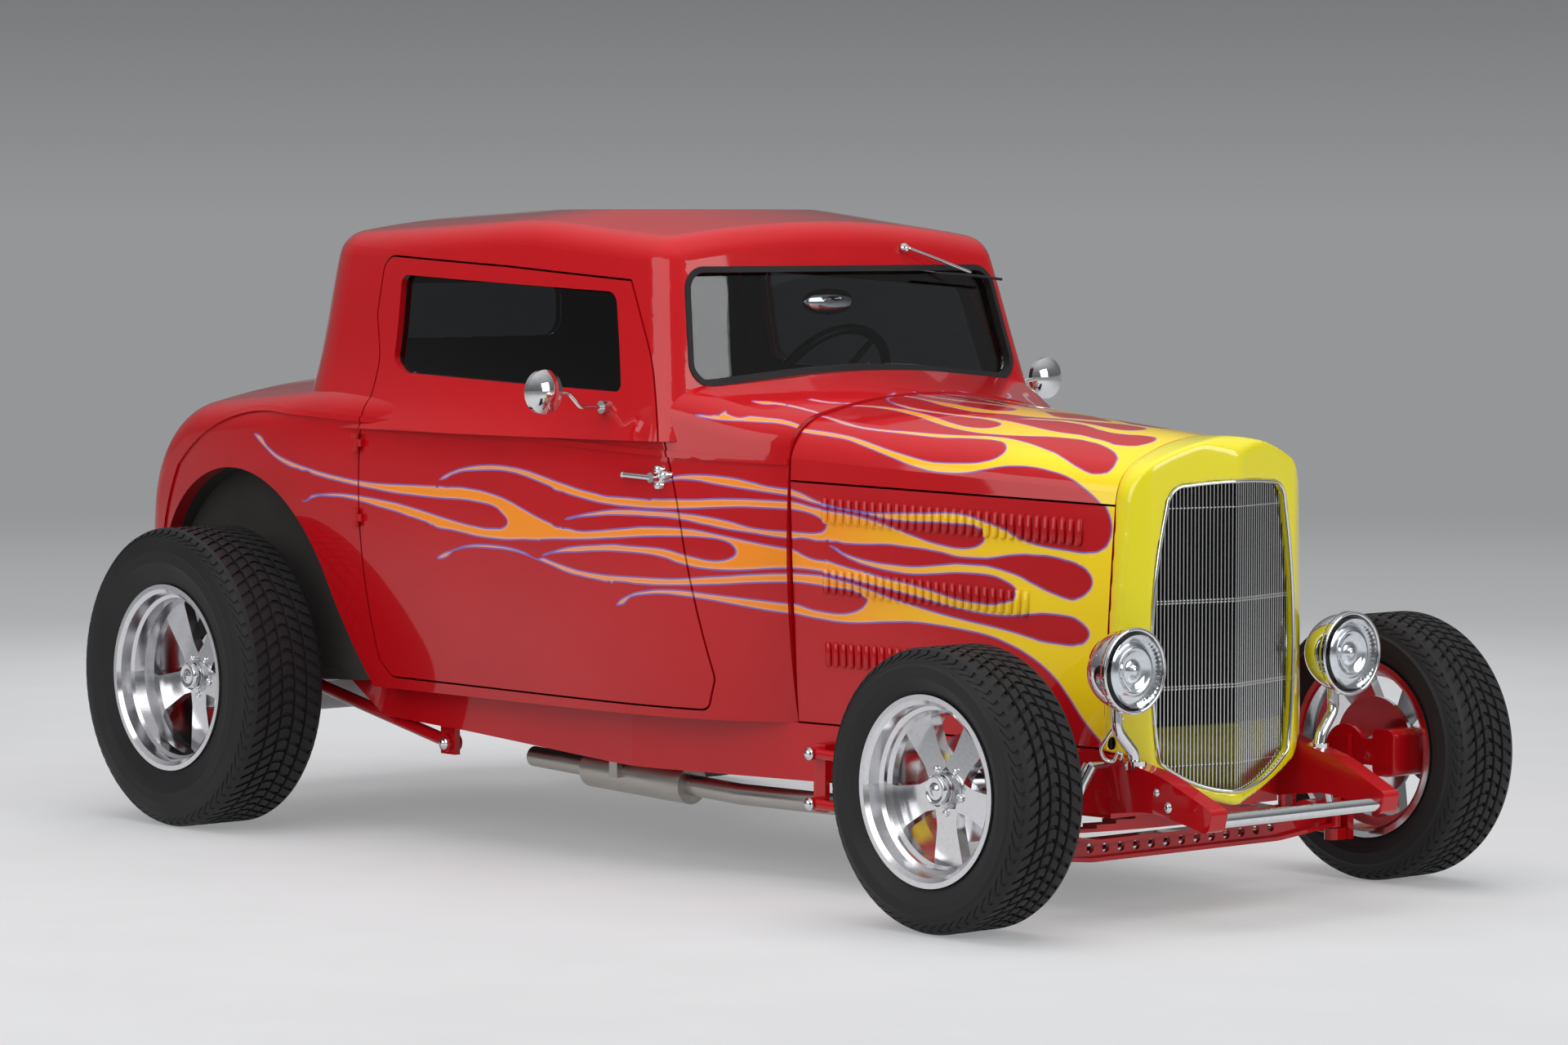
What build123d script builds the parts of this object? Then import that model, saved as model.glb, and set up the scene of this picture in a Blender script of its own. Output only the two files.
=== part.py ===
from build123d import *
import math
import os

# A chopped three-window highboy coupe on a separate ladder frame, in millimetres.
# Built with +X forward, +Y to the left, +Z up, x = 0 midway between the axles and z = 0 on the ground.
# At the end every piece moves forward so that the middle of the whole length is at x = 0.

os.makedirs("parts", exist_ok=True)

# Running gear
wheelbase = 2692.0
front_track = 1380.0
rear_track = 1600.0
front_tyre_radius = 310.0
front_tyre_width = 216.0
front_rim_radius = 195.0
rear_tyre_radius = 379.0
rear_tyre_width = 253.0
rear_rim_radius = 222.0
spindle_radius = 20.0
running_gap = 0.05
seat_gap = 0.3
kingpin_y = 500.0
kingpin_radius = 10.0

# Frame
rail_top = 372.0
rail_width = 50.0
rail_height = 134.0

# Body
wall = 38.0
skin = 12.0
panel_gap = 5.0
rabbet = 9.0
shoulder_radius = 90.0
belt_height = 975.0
body_side_top = 1230.0
cowl_front = 512.0
firewall = 12.0
cowl_top = 1125.0
screen_base = 1203.0
deck_height = 1180.0
roof_height = 1582.0
roof_corner = 78.0
cab_corner = 240.0
bead_radius = 7.0

# Hood and radiator
shell_back = 1405.0
shell_face = 1475.0
shell_nose = 1527.0
hood_skin = 10.0
hood_seam_front = 905.0
hood_seam_rear = 931.0
lamp_radius = 89.0

front_x = wheelbase / 2
rear_x = -wheelbase / 2
front_y = front_track / 2
rear_y = rear_track / 2


# Helpers

def plane_x(x):
    return Plane(origin=(x, 0, 0), x_dir=(0, 1, 0), z_dir=(1, 0, 0))


def plane_y(y):
    return Plane(origin=(0, y, 0), x_dir=(1, 0, 0), z_dir=(0, -1, 0))


def closed(points, radii=None):
    if radii is None:
        return make_face(Polyline(*points, close=True))
    return make_face(FilletPolyline(*points, radius=radii, close=True))


def prism_x(face, x0, x1):
    return extrude(plane_x(x0) * face, x1 - x0, dir=(1, 0, 0))


def prism_y(face, y0, y1):
    return extrude(plane_y(y1) * face, y1 - y0, dir=(0, -1, 0))


def prism_z(face, z0, z1):
    return extrude(Plane.XY.offset(z0) * face, z1 - z0, dir=(0, 0, 1))


def block(x0, x1, y0, y1, z0, z1):
    size = (x1 - x0, y1 - y0, z1 - z0)
    return Pos((x0 + x1) / 2, (y0 + y1) / 2, (z0 + z1) / 2) * Box(*size)


def rod(start, end, radius):
    run = Vector(*end) - Vector(*start)
    place = Plane(origin=start, z_dir=run)
    return extrude(place * Circle(radius), run.length)


def bent_tube(points, bend, radius):
    path = FilletPolyline(*points, radius=bend)
    run = Vector(*points[1]) - Vector(*points[0])
    return sweep(Plane(origin=points[0], z_dir=run) * Circle(radius), path=path)


def lathe_y(points, x, y, z, outward):
    # Turns an outline of (distance outward, radius) about an axis along Y.
    outline = make_face(Polyline(*points, close=True))
    turned = revolve(Plane.XY * outline, Axis.X)
    turn = Rotation(0, 0, 90 * outward)
    return Pos(x, y, z) * turn * turned


def mirrored(shape):
    return mirror(shape, Plane.XZ)


def solids_of(*shapes):
    found = []
    for shape in shapes:
        found.extend(shape.solids())
    return found


pieces = {}


def keep(name, *shapes):
    pieces[name] = solids_of(*shapes)


# Body surfaces: the sides are a loft of cross-sections along the car, the top and tail a loft of
# lengthwise sections across it, and what both enclose gets rounded shoulders.

side_stations = (
    # x, half-width below the sill, at the belt, at the top
    (512, 402, 440, 405),
    (240, 537, 600, 560),
    (-300, 580, 664, 625),
    (-820, 596, 694, 655),
    (-1330, 602, 694, 655),
    (-1720, 582, 655, 620),
    (-1990, 540, 600, 570),
)
skirt = 330.0
body_bottom = 372.0

crown_sections = (
    # y, drop of the cowl front, drop of cab and deck, tail moved forward
    (-760, 235, 100, 95),
    (-380, 58, 25, 24),
    (0, 0, 0, 0),
    (380, 58, 25, 24),
    (760, 235, 100, 95),
)


def side_section(x, low, mid, high):
    outline = (
        Line((-low, skirt), (low, skirt))
        + ThreePointArc((low, skirt), (mid, belt_height), (high, body_side_top))
        + Line((high, body_side_top), (-high, body_side_top))
        + ThreePointArc((-high, body_side_top), (-mid, belt_height), (-low, skirt))
    )
    return plane_x(x) * make_face(outline)


def crown_section(y, front_drop, drop, tail_shift, inset):
    tail = -1965 + tail_shift + inset
    line = FilletPolyline(
        (600, 200),
        (600, cowl_top - 19 - front_drop - inset),
        (240, screen_base - drop - inset),
        (-1000, deck_height - drop - inset),
        (tail + 130, deck_height - 70 - drop - inset),
        (tail, 430),
        (tail + 10, 200),
        radius=(1, 400, 900, 330 - inset, 200),
    )
    return plane_y(y) * make_face(line + Line((tail + 10, 200), (600, 200)))


def lower_body(inset, shoulder):
    sides = loft([
        side_section(x, low - inset, mid - inset, high - inset)
        for x, low, mid, high in side_stations
    ])
    top = loft([
        crown_section(y, front_drop, drop, tail_shift, inset)
        for y, front_drop, drop, tail_shift in crown_sections
    ])
    body = sides & top
    edges = [
        e for e in body.edges()
        if abs(e.center().Y) > 330 and e.bounding_box().size.X > 40
        and e.center().Z > skirt + 20 and e.center().X < 560
    ]
    return fillet(edges, shoulder)


cab_levels = (
    # z, windshield line x, half-width at its posts, at mid-door, at the back, back wall x
    (1020, 318, 607, 694, 690, -1262),
    (1190, 276, 574, 630, 628, -1255),
    (1360, 236, 545, 603, 600, -1236),
    (1560, 190, 500, 560, 556, -1205),
)
screen_bow = 32.0
back_bow = 40.0


def cab_section(z, front, post, middle, back, rear, inset):
    front, rear = front - inset, rear + inset
    post, middle, back = post - inset, middle - inset, back - inset - 30
    post_x, back_x = front - screen_bow, rear + back_bow
    outline = (
        ThreePointArc((post_x, -post), (front, 0), (post_x, post))
        + ThreePointArc((post_x, post), (-350, middle), (back_x, back))
        + ThreePointArc((back_x, back), (rear, 0), (back_x, -back))
        + ThreePointArc((back_x, -back), (-350, -middle), (post_x, -post))
    )
    return Plane.XY.offset(z) * make_face(outline)


def roof_section(y, drop, inset):
    low = roof_height - 82
    line = FilletPolyline(
        (420, 900),
        (420, low - drop - inset),
        (-300, roof_height - drop - inset),
        (-1150, roof_height - 37 - drop - inset),
        (-1330, roof_height - 282 - drop),
        (-1330, 900),
        radius=(1, 1400, 230, 100),
    )
    return plane_y(y) * make_face(line + Line((-1330, 900), (420, 900)))


def cab(inset):
    walls = loft([cab_section(*level, inset) for level in cab_levels])
    roof = loft([
        roof_section(y, drop, inset)
        for y, drop in ((-700, 80), (-350, 20), (0, 0), (350, 20), (700, 80))
    ])
    house = walls & roof
    rear_corners = [
        e for e in house.edges()
        if e.bounding_box().size.Z > 200 and e.center().X < -900
    ]
    house = fillet(rear_corners, cab_corner - inset)
    top = [e for e in house.edges() if e.center().Z > 1350]
    posts = [
        e for e in house.edges()
        if e.bounding_box().size.Z > 200 and e.center().X > 0
    ]
    return fillet(top + posts, roof_corner - inset)


low_outer = lower_body(0, shoulder_radius) & block(-2200, cowl_front, -900, 900, body_bottom, 1400)
low_inner = lower_body(wall, shoulder_radius - wall + 8) & block(-2200, cowl_front - firewall, -900, 900, 300, 1400)
low_skin = lower_body(skin, shoulder_radius - skin)
cab_outer = cab(0)
cab_inner = cab(wall)
cab_skin = cab(skin)
glass_outer = cab(16)
glass_inner = cab(22)

inside = low_inner + cab_inner
shell = low_outer + cab_outer - low_inner - cab_inner

# Door openings: hinged at the back edge, with the front edge leaning back with the windshield post.

door_outline = closed(
    (
        (84, 1395), (188, 1209), (287, 909), (359, 470), (330, 392),
        (-780, 400), (-815, 440), (-815, 1190), (-852, 1300), (-840, 1450), (-340, 1425),
    ),
    (12, 500, 900, 40, 30, 25, 15, 120, 60, 45, 900),
)
window_outline = closed(
    ((104, 1131), (40, 1365), (-758, 1400), (-752, 1190), (-704, 1160)),
    (14, 38, 22, 30, 60),
)
door_face = offset(door_outline, -panel_gap)
door_inner_face = offset(door_outline, -panel_gap - rabbet)
side_reach = (300, 900)

door_cut = prism_y(door_outline, *side_reach)
door_blank = prism_y(door_face, *side_reach)
door_step = door_blank - prism_y(door_inner_face, *side_reach)
window_cut = prism_y(window_outline, *side_reach)
step_inner = door_step & (low_skin + cab_skin)

door_left = (shell & door_blank) - step_inner - window_cut
door_glass = (glass_outer - glass_inner) & prism_y(offset(window_outline, -seat_gap), *side_reach)

# Rear wheel arches

arch_outline = make_face(
    Line((-840, 300), (-955, 600))
    + ThreePointArc((-955, 600), (rear_x - 14, 904), (-1765, 600))
    + Line((-1765, 600), (-1880, 300))
    + Line((-1880, 300), (-840, 300))
)
arch_cut = prism_y(arch_outline, 450, 900)
tub_wall = 10.0
tub_inner = 590.0
tub_blank = prism_y(offset(arch_outline, tub_wall), tub_inner - tub_wall, 900) & low_inner
axle_slot = block(rear_x - 70, rear_x + 70, tub_inner - 40, tub_inner + 20, 300, 470)
tub = tub_blank - prism_y(arch_outline, tub_inner, 900) - axle_slot

# Windshield, rear window and deck lid

screen_outline = closed(
    ((-529, 1140), (-489, 1425), (489, 1425), (529, 1140), (0, 1186)),
    (52, 62, 62, 52, 2600),
)
back_window = closed(((-290, 1215), (-270, 1385), (270, 1385), (290, 1215)), 60)
seal_width = 14.0
screen_cut = prism_x(screen_outline, 60, 500)
back_cut = prism_x(back_window, -1500, -1120)
screen_hole = prism_x(offset(screen_outline, -seal_width), 60, 500)
back_hole = prism_x(offset(back_window, -seal_width), -1500, -1120)
seal_outer = cab(-3)
seal_stock = seal_outer - glass_inner


def window_seal(cut_face, hole, x0, x1):
    return (seal_stock & prism_x(offset(cut_face, -seat_gap), x0, x1)) - hole


screen_seal = window_seal(screen_outline, screen_hole, 60, 500)
back_seal = window_seal(back_window, back_hole, -1500, -1120)
glass_stock = glass_outer - glass_inner
screen_glass = glass_stock & prism_x(offset(screen_outline, -seal_width - seat_gap), 60, 500)
back_glass = glass_stock & prism_x(offset(back_window, -seal_width - seat_gap), -1500, -1120)

lid_outline = closed(
    ((-1345, -500), (-2100, -500), (-2100, 500), (-1345, 500)), (60, 5, 5, 60)
)
lid_bottom = 520.0
lid_cut = prism_z(lid_outline, lid_bottom, 1300)
lid_blank = prism_z(offset(lid_outline, -panel_gap), lid_bottom + panel_gap, 1300)
deck_lid = shell & lid_blank

shell = shell - door_cut - mirrored(door_cut) - arch_cut - mirrored(arch_cut)
shell = shell - screen_cut - back_cut - lid_cut

# Belt moulding: a raised bead along both sides, over doors and quarters and down the tail.

bead_arcs = (
    ((cowl_front + 10, 976), (-315, 1021), (-1129, 1055)),
    ((-1129, 1055), (-1440, 1020), (-1640, 905)),
    ((-1640, 905), (-1745, 700), (-1800, 360)),
)


def arc_band(start, middle, end, half):
    # The strip between two arcs that run beside the arc through three points.
    arc = ThreePointArc(start, middle, end)
    centre = arc.arc_center
    edges = []
    for grow in (half, -half):
        share = (arc.radius + grow) / arc.radius
        edges.append([centre + (Vector(*p) - centre) * share for p in (start, middle, end)])
    (a0, a1, a2), (b0, b1, b2) = edges
    return make_face(ThreePointArc(a0, a1, a2) + Line(a2, b2) + ThreePointArc(b2, b1, b0) + Line(b0, a0))


bead_band = prism_y(arc_band(*bead_arcs[0], bead_radius), 300, 900)
for arc_points in bead_arcs[1:]:
    bead_band += prism_y(arc_band(*arc_points, bead_radius), 300, 900)
bead_skin = lower_body(-5, shoulder_radius + 4) - low_outer
bead = (bead_band & bead_skin) & block(-2200, cowl_front, 0, 900, body_bottom, 1400)
bead_door = bead & door_blank
bead_body = bead - door_cut

# Split of the shell at the cowl, the roof rail and the quarters

roof_cut_line = ((900, 1344), (-1500, 1506))
above = prism_y(closed((roof_cut_line[0], roof_cut_line[1], (-1500, 1800), (900, 1800))), -900, 900)
front_zone = block(-300, 600, -900, 900, 393, 1800) + block(290, 600, -900, 900, 300, 393.5)
shell_all = shell + bead_body + mirrored(bead_body)
roof_panel = shell_all & above
lower_shell = shell_all - above
cowl = lower_shell & front_zone
rear_body = lower_shell - front_zone

# Frame: each rail is the overlap of a side view and a plan view, pressed from channel and boxed.

rail_side = closed(
    (
        (1722, 212), (1560, 250), (1388, 228), (626, 240), (0, 234), (-613, 276), (-930, 290),
        (-1190, 448), (-1500, 440), (-1700, 300), (-1935, 262), (-1935, 330), (-1690, 372),
        (-1540, 500), (-1170, 520), (-880, rail_top), (1385, rail_top), (1580, 330), (1735, 262),
    ),
    (14, 300, 200, 900, 2000, 900, 160, 160, 120, 160, 10, 10, 160, 120, 120, 160, 120, 300, 14),
)
rail_stations = (
    # x, distance of the outer face from the centre line
    (1760, 297), (1350, 318), (512, 420), (0, 490), (-700, 532), (-1200, 540), (-2000, 540),
)


def rail_half_width(x):
    for (x0, y0), (x1, y1) in zip(rail_stations, rail_stations[1:]):
        if x1 <= x <= x0:
            return y0 + (y1 - y0) * (x0 - x) / (x0 - x1)


outer_edge = list(rail_stations)
inner_edge = [(x, y - rail_width) for x, y in reversed(rail_stations)]
rail_plan = closed(outer_edge + inner_edge)
tow_hole_radius = 8.0
tow_hole_x = -1905.0
tow_hole_z = 297.0
rail = prism_y(rail_side, 200, 600) & prism_z(rail_plan, 100, 700)
rail = rail - rod((tow_hole_x, 400, tow_hole_z), (tow_hole_x, 700, tow_hole_z), tow_hole_radius)
keep("frame_rails", rail, mirrored(rail))


both_rails = rail + mirrored(rail)


def between_rails(x0, x1, z0, z1):
    # A member whose ends meet the rails' inner faces.
    plan = closed((
        (x0, rail_half_width(x0) - rail_width), (x1, rail_half_width(x1) - rail_width),
        (x1, -rail_half_width(x1) + rail_width), (x0, -rail_half_width(x0) + rail_width),
    ))
    return prism_z(plan, z0, z1) - both_rails


member_table = (
    # rear x, front x, low z, high z
    (1300, 1392, 216, rail_top - 2),
    (150, 230, 238, 264),
    (-1472, -1430, 462, 500),
    (-1890, -1850, 290, 322),
)
members = [between_rails(*row) for row in member_table]

# Front end: a drilled I-section axle, a transverse leaf spring, four-bar links.

axle_width = 44.0
axle_web = 10.0
axle_flange = 9.0
boss_radius = 20.0
boss_low, boss_high = 134.0, 204.0
axle_side = closed(
    (
        (-300, 119), (300, 119), (kingpin_y - 14, boss_low + 4), (kingpin_y - 14, boss_high - 4),
        (420, 200), (300, 168), (-300, 168), (-420, 200), (-kingpin_y + 14, boss_high - 4),
        (-kingpin_y + 14, boss_low + 4),
    ),
    (300, 300, 4, 4, 90, 200, 200, 90, 4, 4),
)
axle_web_solid = prism_x(axle_side, front_x - axle_web / 2, front_x + axle_web / 2)
axle_full = prism_x(axle_side, front_x - axle_width / 2, front_x + axle_width / 2)
axle_core = prism_x(offset(axle_side, -axle_flange), front_x - axle_width, front_x + axle_width)
front_axle = axle_web_solid + (axle_full - axle_core)
axle_hole_radius = 11.0
axle_hole_pitch = 48.0
axle_holes = []
for k in range(13):
    hole_y = (k - 6) * axle_hole_pitch
    hole_z = 144 + abs(hole_y / 300) ** 3 * 5
    axle_holes.append(rod((front_x - 30, hole_y, hole_z), (front_x + 30, hole_y, hole_z), axle_hole_radius))
front_axle = front_axle - axle_holes
for side in (1, -1):
    y = side * kingpin_y
    front_axle += rod((front_x, y, boss_low), (front_x, y, boss_high), boss_radius)
    front_axle += rod((front_x, side * 330, 165), (front_x, side * 330, 222), 9)
for side in (1, -1):
    y = side * kingpin_y
    front_axle -= rod((front_x, y, 60), (front_x, y, 400), kingpin_radius + running_gap)
keep("front_axle", front_axle)

leaf_count = 5
leaf_thickness = 8.0
leaf_width = 45.0
leaf_top = 220.7
leaf_base = leaf_top - leaf_count * leaf_thickness
spring = None
for k in range(leaf_count):
    reach = 345 - 60 * k
    drop = -7 * (reach / 345) ** 2
    low = leaf_base + k * leaf_thickness
    high = low + leaf_thickness
    band = (
        ThreePointArc((-reach, low - drop), (0, low), (reach, low - drop))
        + Line((reach, low - drop), (reach, high - drop))
        + ThreePointArc((reach, high - drop), (0, high), (-reach, high - drop))
        + Line((-reach, high - drop), (-reach, low - drop))
    )
    leaf = prism_x(make_face(band), front_x - leaf_width / 2, front_x + leaf_width / 2)
    spring = leaf if spring is None else spring + leaf
spring = spring - front_axle
keep("front_spring", spring)
members[0] = members[0] - spring
keep("crossmembers", *members)

link_radius = 12.0
link_rear_x = 618.0
link_front_x = 1302.0
links = []
for side in (1, -1):
    rear_end = side * 455
    front_end = side * 395
    plate_y = sorted((side * (rail_half_width(620) - 10), side * 441))
    plate = block(600, 640, *plate_y, 246, 332) + block(600, 640, *sorted((side * 427, side * 441)), 176, 332)
    wing = block(1290, 1324, front_end - 6, front_end + 6, 150, 300)
    bars = plate
    for z_rear, z_front in ((312, 282), (196, 168)):
        bars += rod((link_rear_x, rear_end, z_rear), (link_front_x, front_end, z_front), link_radius)
        bars += rod((link_rear_x, side * 428, z_rear), (link_rear_x, side * 470, z_rear), 15)
        bars += rod((link_front_x, side * 378, z_front), (link_front_x, side * 412, z_front), 15)
    links.append(bars + wing)
for side in (1, -1):
    y = side * 500
    plate = block(-730, -672, y - 8, y + 8, 208, 300)
    bar = rod((-700, y, 236), (-1306, y, 352), 16)
    bar += rod((-700, y - 20, 236), (-700, y + 20, 236), 22)
    links.append(bar + plate)
suspension = [item - both_rails for item in links]

shocks = []
for side in (1, -1):
    body = rod((1390, side * 448, 176), (1408, side * 404, 260), 11)
    body += rod((1408, side * 404, 260), (1426, side * 362, 342), 18)
    body += rod((1426, side * 362, 342), (1426, side * 290, 342), 9)
    body += rod((1390, side * 448, 176), (front_x + 4, side * 448, 176), 9)
    shocks.append(body - both_rails - front_axle)
for side in (1, -1):
    y = side * 400
    coil = rod((rear_x - 10, y, 390), (-1447, y, 470), 13)
    coil += rod((-1368, y, 407), (-1428, y, 455), 30)
    shocks.append(coil - members[2])
rear_axle_radius = 38.0
axle_z = rear_tyre_radius
rear_axle = rod((rear_x, -700, axle_z), (rear_x, 700, axle_z), rear_axle_radius)
rear_axle += Pos(rear_x, 0, axle_z) * Sphere(115)
rear_axle += rod((rear_x, 0, axle_z), (rear_x + 240, 0, axle_z), 60)
rear_axle += rod((rear_x, 0, axle_z), (-60, 0, 285), 25)
brake_y = rear_y - 92
for side in (1, -1):
    rear_axle += rod((rear_x, side * (brake_y - 8), axle_z), (rear_x, side * brake_y, axle_z), 138)
    rear_axle += rod((rear_x, side * 600, axle_z), (rear_x, side * (rear_y - 6), axle_z), spindle_radius)
engine = block(560, 1180, -250, 250, 270, 830)
engine = fillet(engine.edges().filter_by(Axis.X), 40)
gearbox = block(-60, 560, -110, 110, 264.3, 365)
engine += fillet(gearbox.edges().filter_by(Axis.X), 30)
keep("engine_block", engine)
rear_axle = rear_axle - engine
shocks = [s - rear_axle for s in shocks]
keep("shock_absorbers", *shocks)
suspension = [s - rear_axle - front_axle for s in suspension]
keep("suspension_links", *suspension)
keep("rear_axle", rear_axle)

bar_radius = 16.0
bar_x = 1708.0
bar_z = 237.0
spreader = rod((bar_x, -275, bar_z), (bar_x, 275, bar_z), bar_radius) - both_rails
keep("front_spreader_bar", spreader)

tank = block(-1845, -1560, -430, 430, 238, 372)
tank = fillet(tank.edges().filter_by(Axis.Y), 40)
tank = tank - between_rails(-1890, -1850, 290, 322)
keep("fuel_tank", tank)

pipe_radius = 25.0
pipe_bore = 22.0
tailpipe_x = -470.0
pipes = []
for side in (1, -1):
    route = ((960, side * 284, 420), (960, side * 284, 197), (620, side * 384, 188), (300, side * 402, 186),
             (tailpipe_x - 10, side * 408, 214))
    tube = bent_tube(route, (55, 120, 150), pipe_radius)
    flange_y = sorted((side * 250, side * 296))
    tube += block(925, 995, *flange_y, 396, 428)
    bore = rod((tailpipe_x + 100, side * 407.3, 211.1), (tailpipe_x - 60, side * 408.2, 215.4), pipe_bore)
    tube = tube - bore
    muffler = rod((120, side * 403, 192), (-250, side * 406, 204), 46)
    pipes.append(tube + muffler)
    pipes[-1] += block(-120, -90, side * 455 - 8, side * 455 + 8, 196, 246)
pipes = [p - both_rails for p in pipes]
keep("exhaust_pipes", *pipes)

# Radiator shell: the outline seen from the front, cut to a shallow V in plan.

shell_half = (
    ThreePointArc((0, 235), (170, 292), (311, 371))
    + ThreePointArc((311, 371), (284, 728), (270, 905))
    + ThreePointArc((270, 905), (256, 965), (212, 1006))
    + ThreePointArc((212, 1006), (110, 1042), (0, 1057))
)
opening_half = (
    ThreePointArc((0, 268), (112, 291), (204, 344))
    + ThreePointArc((204, 344), (224, 520), (187, 905))
    + ThreePointArc((187, 905), (172, 938), (136, 950))
    + ThreePointArc((136, 950), (70, 955), (0, 957))
)


def both_halves(half):
    return make_face(half + mirror(half, Plane.YZ))


shell_face_outline = both_halves(shell_half)
opening_outline = both_halves(opening_half)
shell_plan = make_face(
    Line((shell_back, -340), (shell_back + 8, -318))
    + ThreePointArc((shell_back + 8, -318), (1448, -275), (shell_face + 2, -228))
    + Line((shell_face + 2, -228), (1520, -26))
    + ThreePointArc((1520, -26), (shell_nose - 1, 0), (1520, 26))
    + Line((1520, 26), (shell_face + 2, 228))
    + ThreePointArc((shell_face + 2, 228), (1448, 275), (shell_back + 8, 318))
    + Line((shell_back + 8, 318), (shell_back, 340))
    + Line((shell_back, 340), (shell_back, -340))
)
shell_profile = make_face(
    Line((shell_back, 200), (1540, 200))
    + Line((1540, 200), (1540, 972))
    + ThreePointArc((1540, 972), (1513, 1036), (1450, 1062))
    + Line((1450, 1062), (shell_back, 1066))
    + Line((shell_back, 1066), (shell_back, 200))
)
shell_form = prism_x(shell_face_outline, shell_back, 1540) & prism_z(shell_plan, 200, 1100)
shell_form = shell_form & prism_y(shell_profile, -400, 400)
shell_hole = prism_x(opening_outline, 1300, 1600)
cavity = prism_x(offset(shell_face_outline, -8), 1300, shell_back + 24)
radiator_shell = shell_form - shell_hole - cavity - both_rails
keep("radiator_shell", radiator_shell)

core = prism_x(offset(shell_face_outline, -32), 1394, shell_back + 20)
core = core & block(1300, 1500, -300, 300, rail_top, 1040)
core = core + (prism_x(offset(shell_face_outline, -8.3), shell_back + 8, shell_back + 20)
               & block(1300, 1500, -300, 300, rail_top, 1100))

bar_pitch = 9.5
bar_width = 3.2
bar_depth = 13.0
bar_count = 47
slope = (shell_nose - shell_face) / 215.0
bar_limit = prism_x(offset(opening_outline, -seat_gap), 1300, 1600)
bars = []
for k in range(bar_count):
    y = (k - (bar_count - 1) / 2) * bar_pitch
    face = shell_nose - 12 - slope * abs(y)
    bars.append(block(face - bar_depth, face, y - bar_width / 2, y + bar_width / 2, 250, 970) & bar_limit)
rails_across = []
for z in (330, 500, 506, 690, 696, 900):
    for side in (1, -1):
        start = (shell_nose - 12 - bar_depth / 2, 0, z)
        end = (shell_nose - 12 - bar_depth / 2 - slope * 232, side * 232, z)
        rails_across.append(rod(start, end, 2.2) & bar_limit)
grille = bars[0].fuse(*bars[1:], *rails_across)
keep("grille_insert", grille)

# Headlights on chromed stands

lamp_x, lamp_y, lamp_z = 1546.0, 345.0, 557.0
bucket_depth = 100.0
lens_rise = 10.0
lens_curve = ((lamp_radius - 3) ** 2 + lens_rise ** 2) / (2 * lens_rise)
lamps = []
lenses = []
stands = []
for side in (1, -1):
    profile = (
        Line((0, 0), (0, lamp_radius + 6))
        + Line((0, lamp_radius + 6), (16, lamp_radius + 6))
        + Line((16, lamp_radius + 6), (18, lamp_radius))
        + ThreePointArc((18, lamp_radius), (18 + 0.74 * bucket_depth, 0.66 * lamp_radius), (18 + bucket_depth, 0))
        + Line((18 + bucket_depth, 0), (0, 0))
    )
    bucket = revolve(Plane.XY * make_face(profile), Axis.X)
    bucket = bucket - (Pos(-1, 0, 0) * Rotation(0, 90, 0) * Cylinder(lamp_radius - 2, 24))
    bucket = Pos(lamp_x, side * lamp_y, lamp_z) * Rotation(0, 0, 180) * bucket
    stand = bent_tube(
        ((1488, side * lamp_y, 485), (1490, side * lamp_y, 425), (1494, side * 300, 375), (1494, side * 288, 325)),
        (40, 30), 13,
    )
    stand += rod((1494, side * 291, 335), (1494, side * 291, 354), 24)
    lamps.append(bucket + (stand - both_rails))
    lens_profile = (
        Line((-11, 0), (-11, lamp_radius - 3))
        + Line((-11, lamp_radius - 3), (0, lamp_radius - 3))
        + RadiusArc((0, lamp_radius - 3), (lens_rise, 0), lens_curve)
        + Line((lens_rise, 0), (-11, 0))
    )
    lens = revolve(Plane.XY * make_face(lens_profile), Axis.X)
    lenses.append(Pos(lamp_x, side * lamp_y, lamp_z) * lens)
keep("headlights", *lamps)
keep("headlight_lenses", *lenses)

# Hood: fixed louvred sides and a lift-off top

hood_rear = cowl_front + panel_gap
hood_front = shell_back - seat_gap
louvre_length = 15.0
louvre_rise = 7.0
louvre_pitch = 22.6
louvre_rows = (
    # first x, count, middle z at the front of the hood and at its rear end, height
    (613, 32, 843, 872, 62),
    (613, 26, 672, 710, 60),
    (613, 18, 530, 538, 60),
)
side_front = ((302, 376), (284, 728), (269, hood_seam_front))
side_rear = ((413, 376), (434, 760), (439, hood_seam_rear))
side_thickness = 12.0


def hood_side_section(points, x, inset):
    (y0, z0), (y1, z1), (y2, z2) = points
    outline = (
        ThreePointArc((y0, z0), (y1, z1), (y2, z2))
        + Line((y2, z2), (y2 - inset, z2))
        + ThreePointArc((y2 - inset, z2), (y1 - inset, z1), (y0 - inset, z0))
        + Line((y0 - inset, z0), (y0, z0))
    )
    return plane_x(x) * make_face(outline)


hood_side = loft([
    hood_side_section(side_front, hood_front, side_thickness),
    hood_side_section(side_rear, hood_rear, side_thickness),
])


def side_place(x, z):
    # Distance of the hood side's outer face from the centre line.
    share = (x - hood_rear) / (hood_front - hood_rear)
    low = side_rear[0][0] + (side_front[0][0] - side_rear[0][0]) * share
    mid = side_rear[1][0] + (side_front[1][0] - side_rear[1][0]) * share
    high = side_rear[2][0] + (side_front[2][0] - side_rear[2][0]) * share
    if z > 745:
        return mid + (high - mid) * (z - 745) / 175
    return low + (mid - low) * (z - 376) / 369


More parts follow.
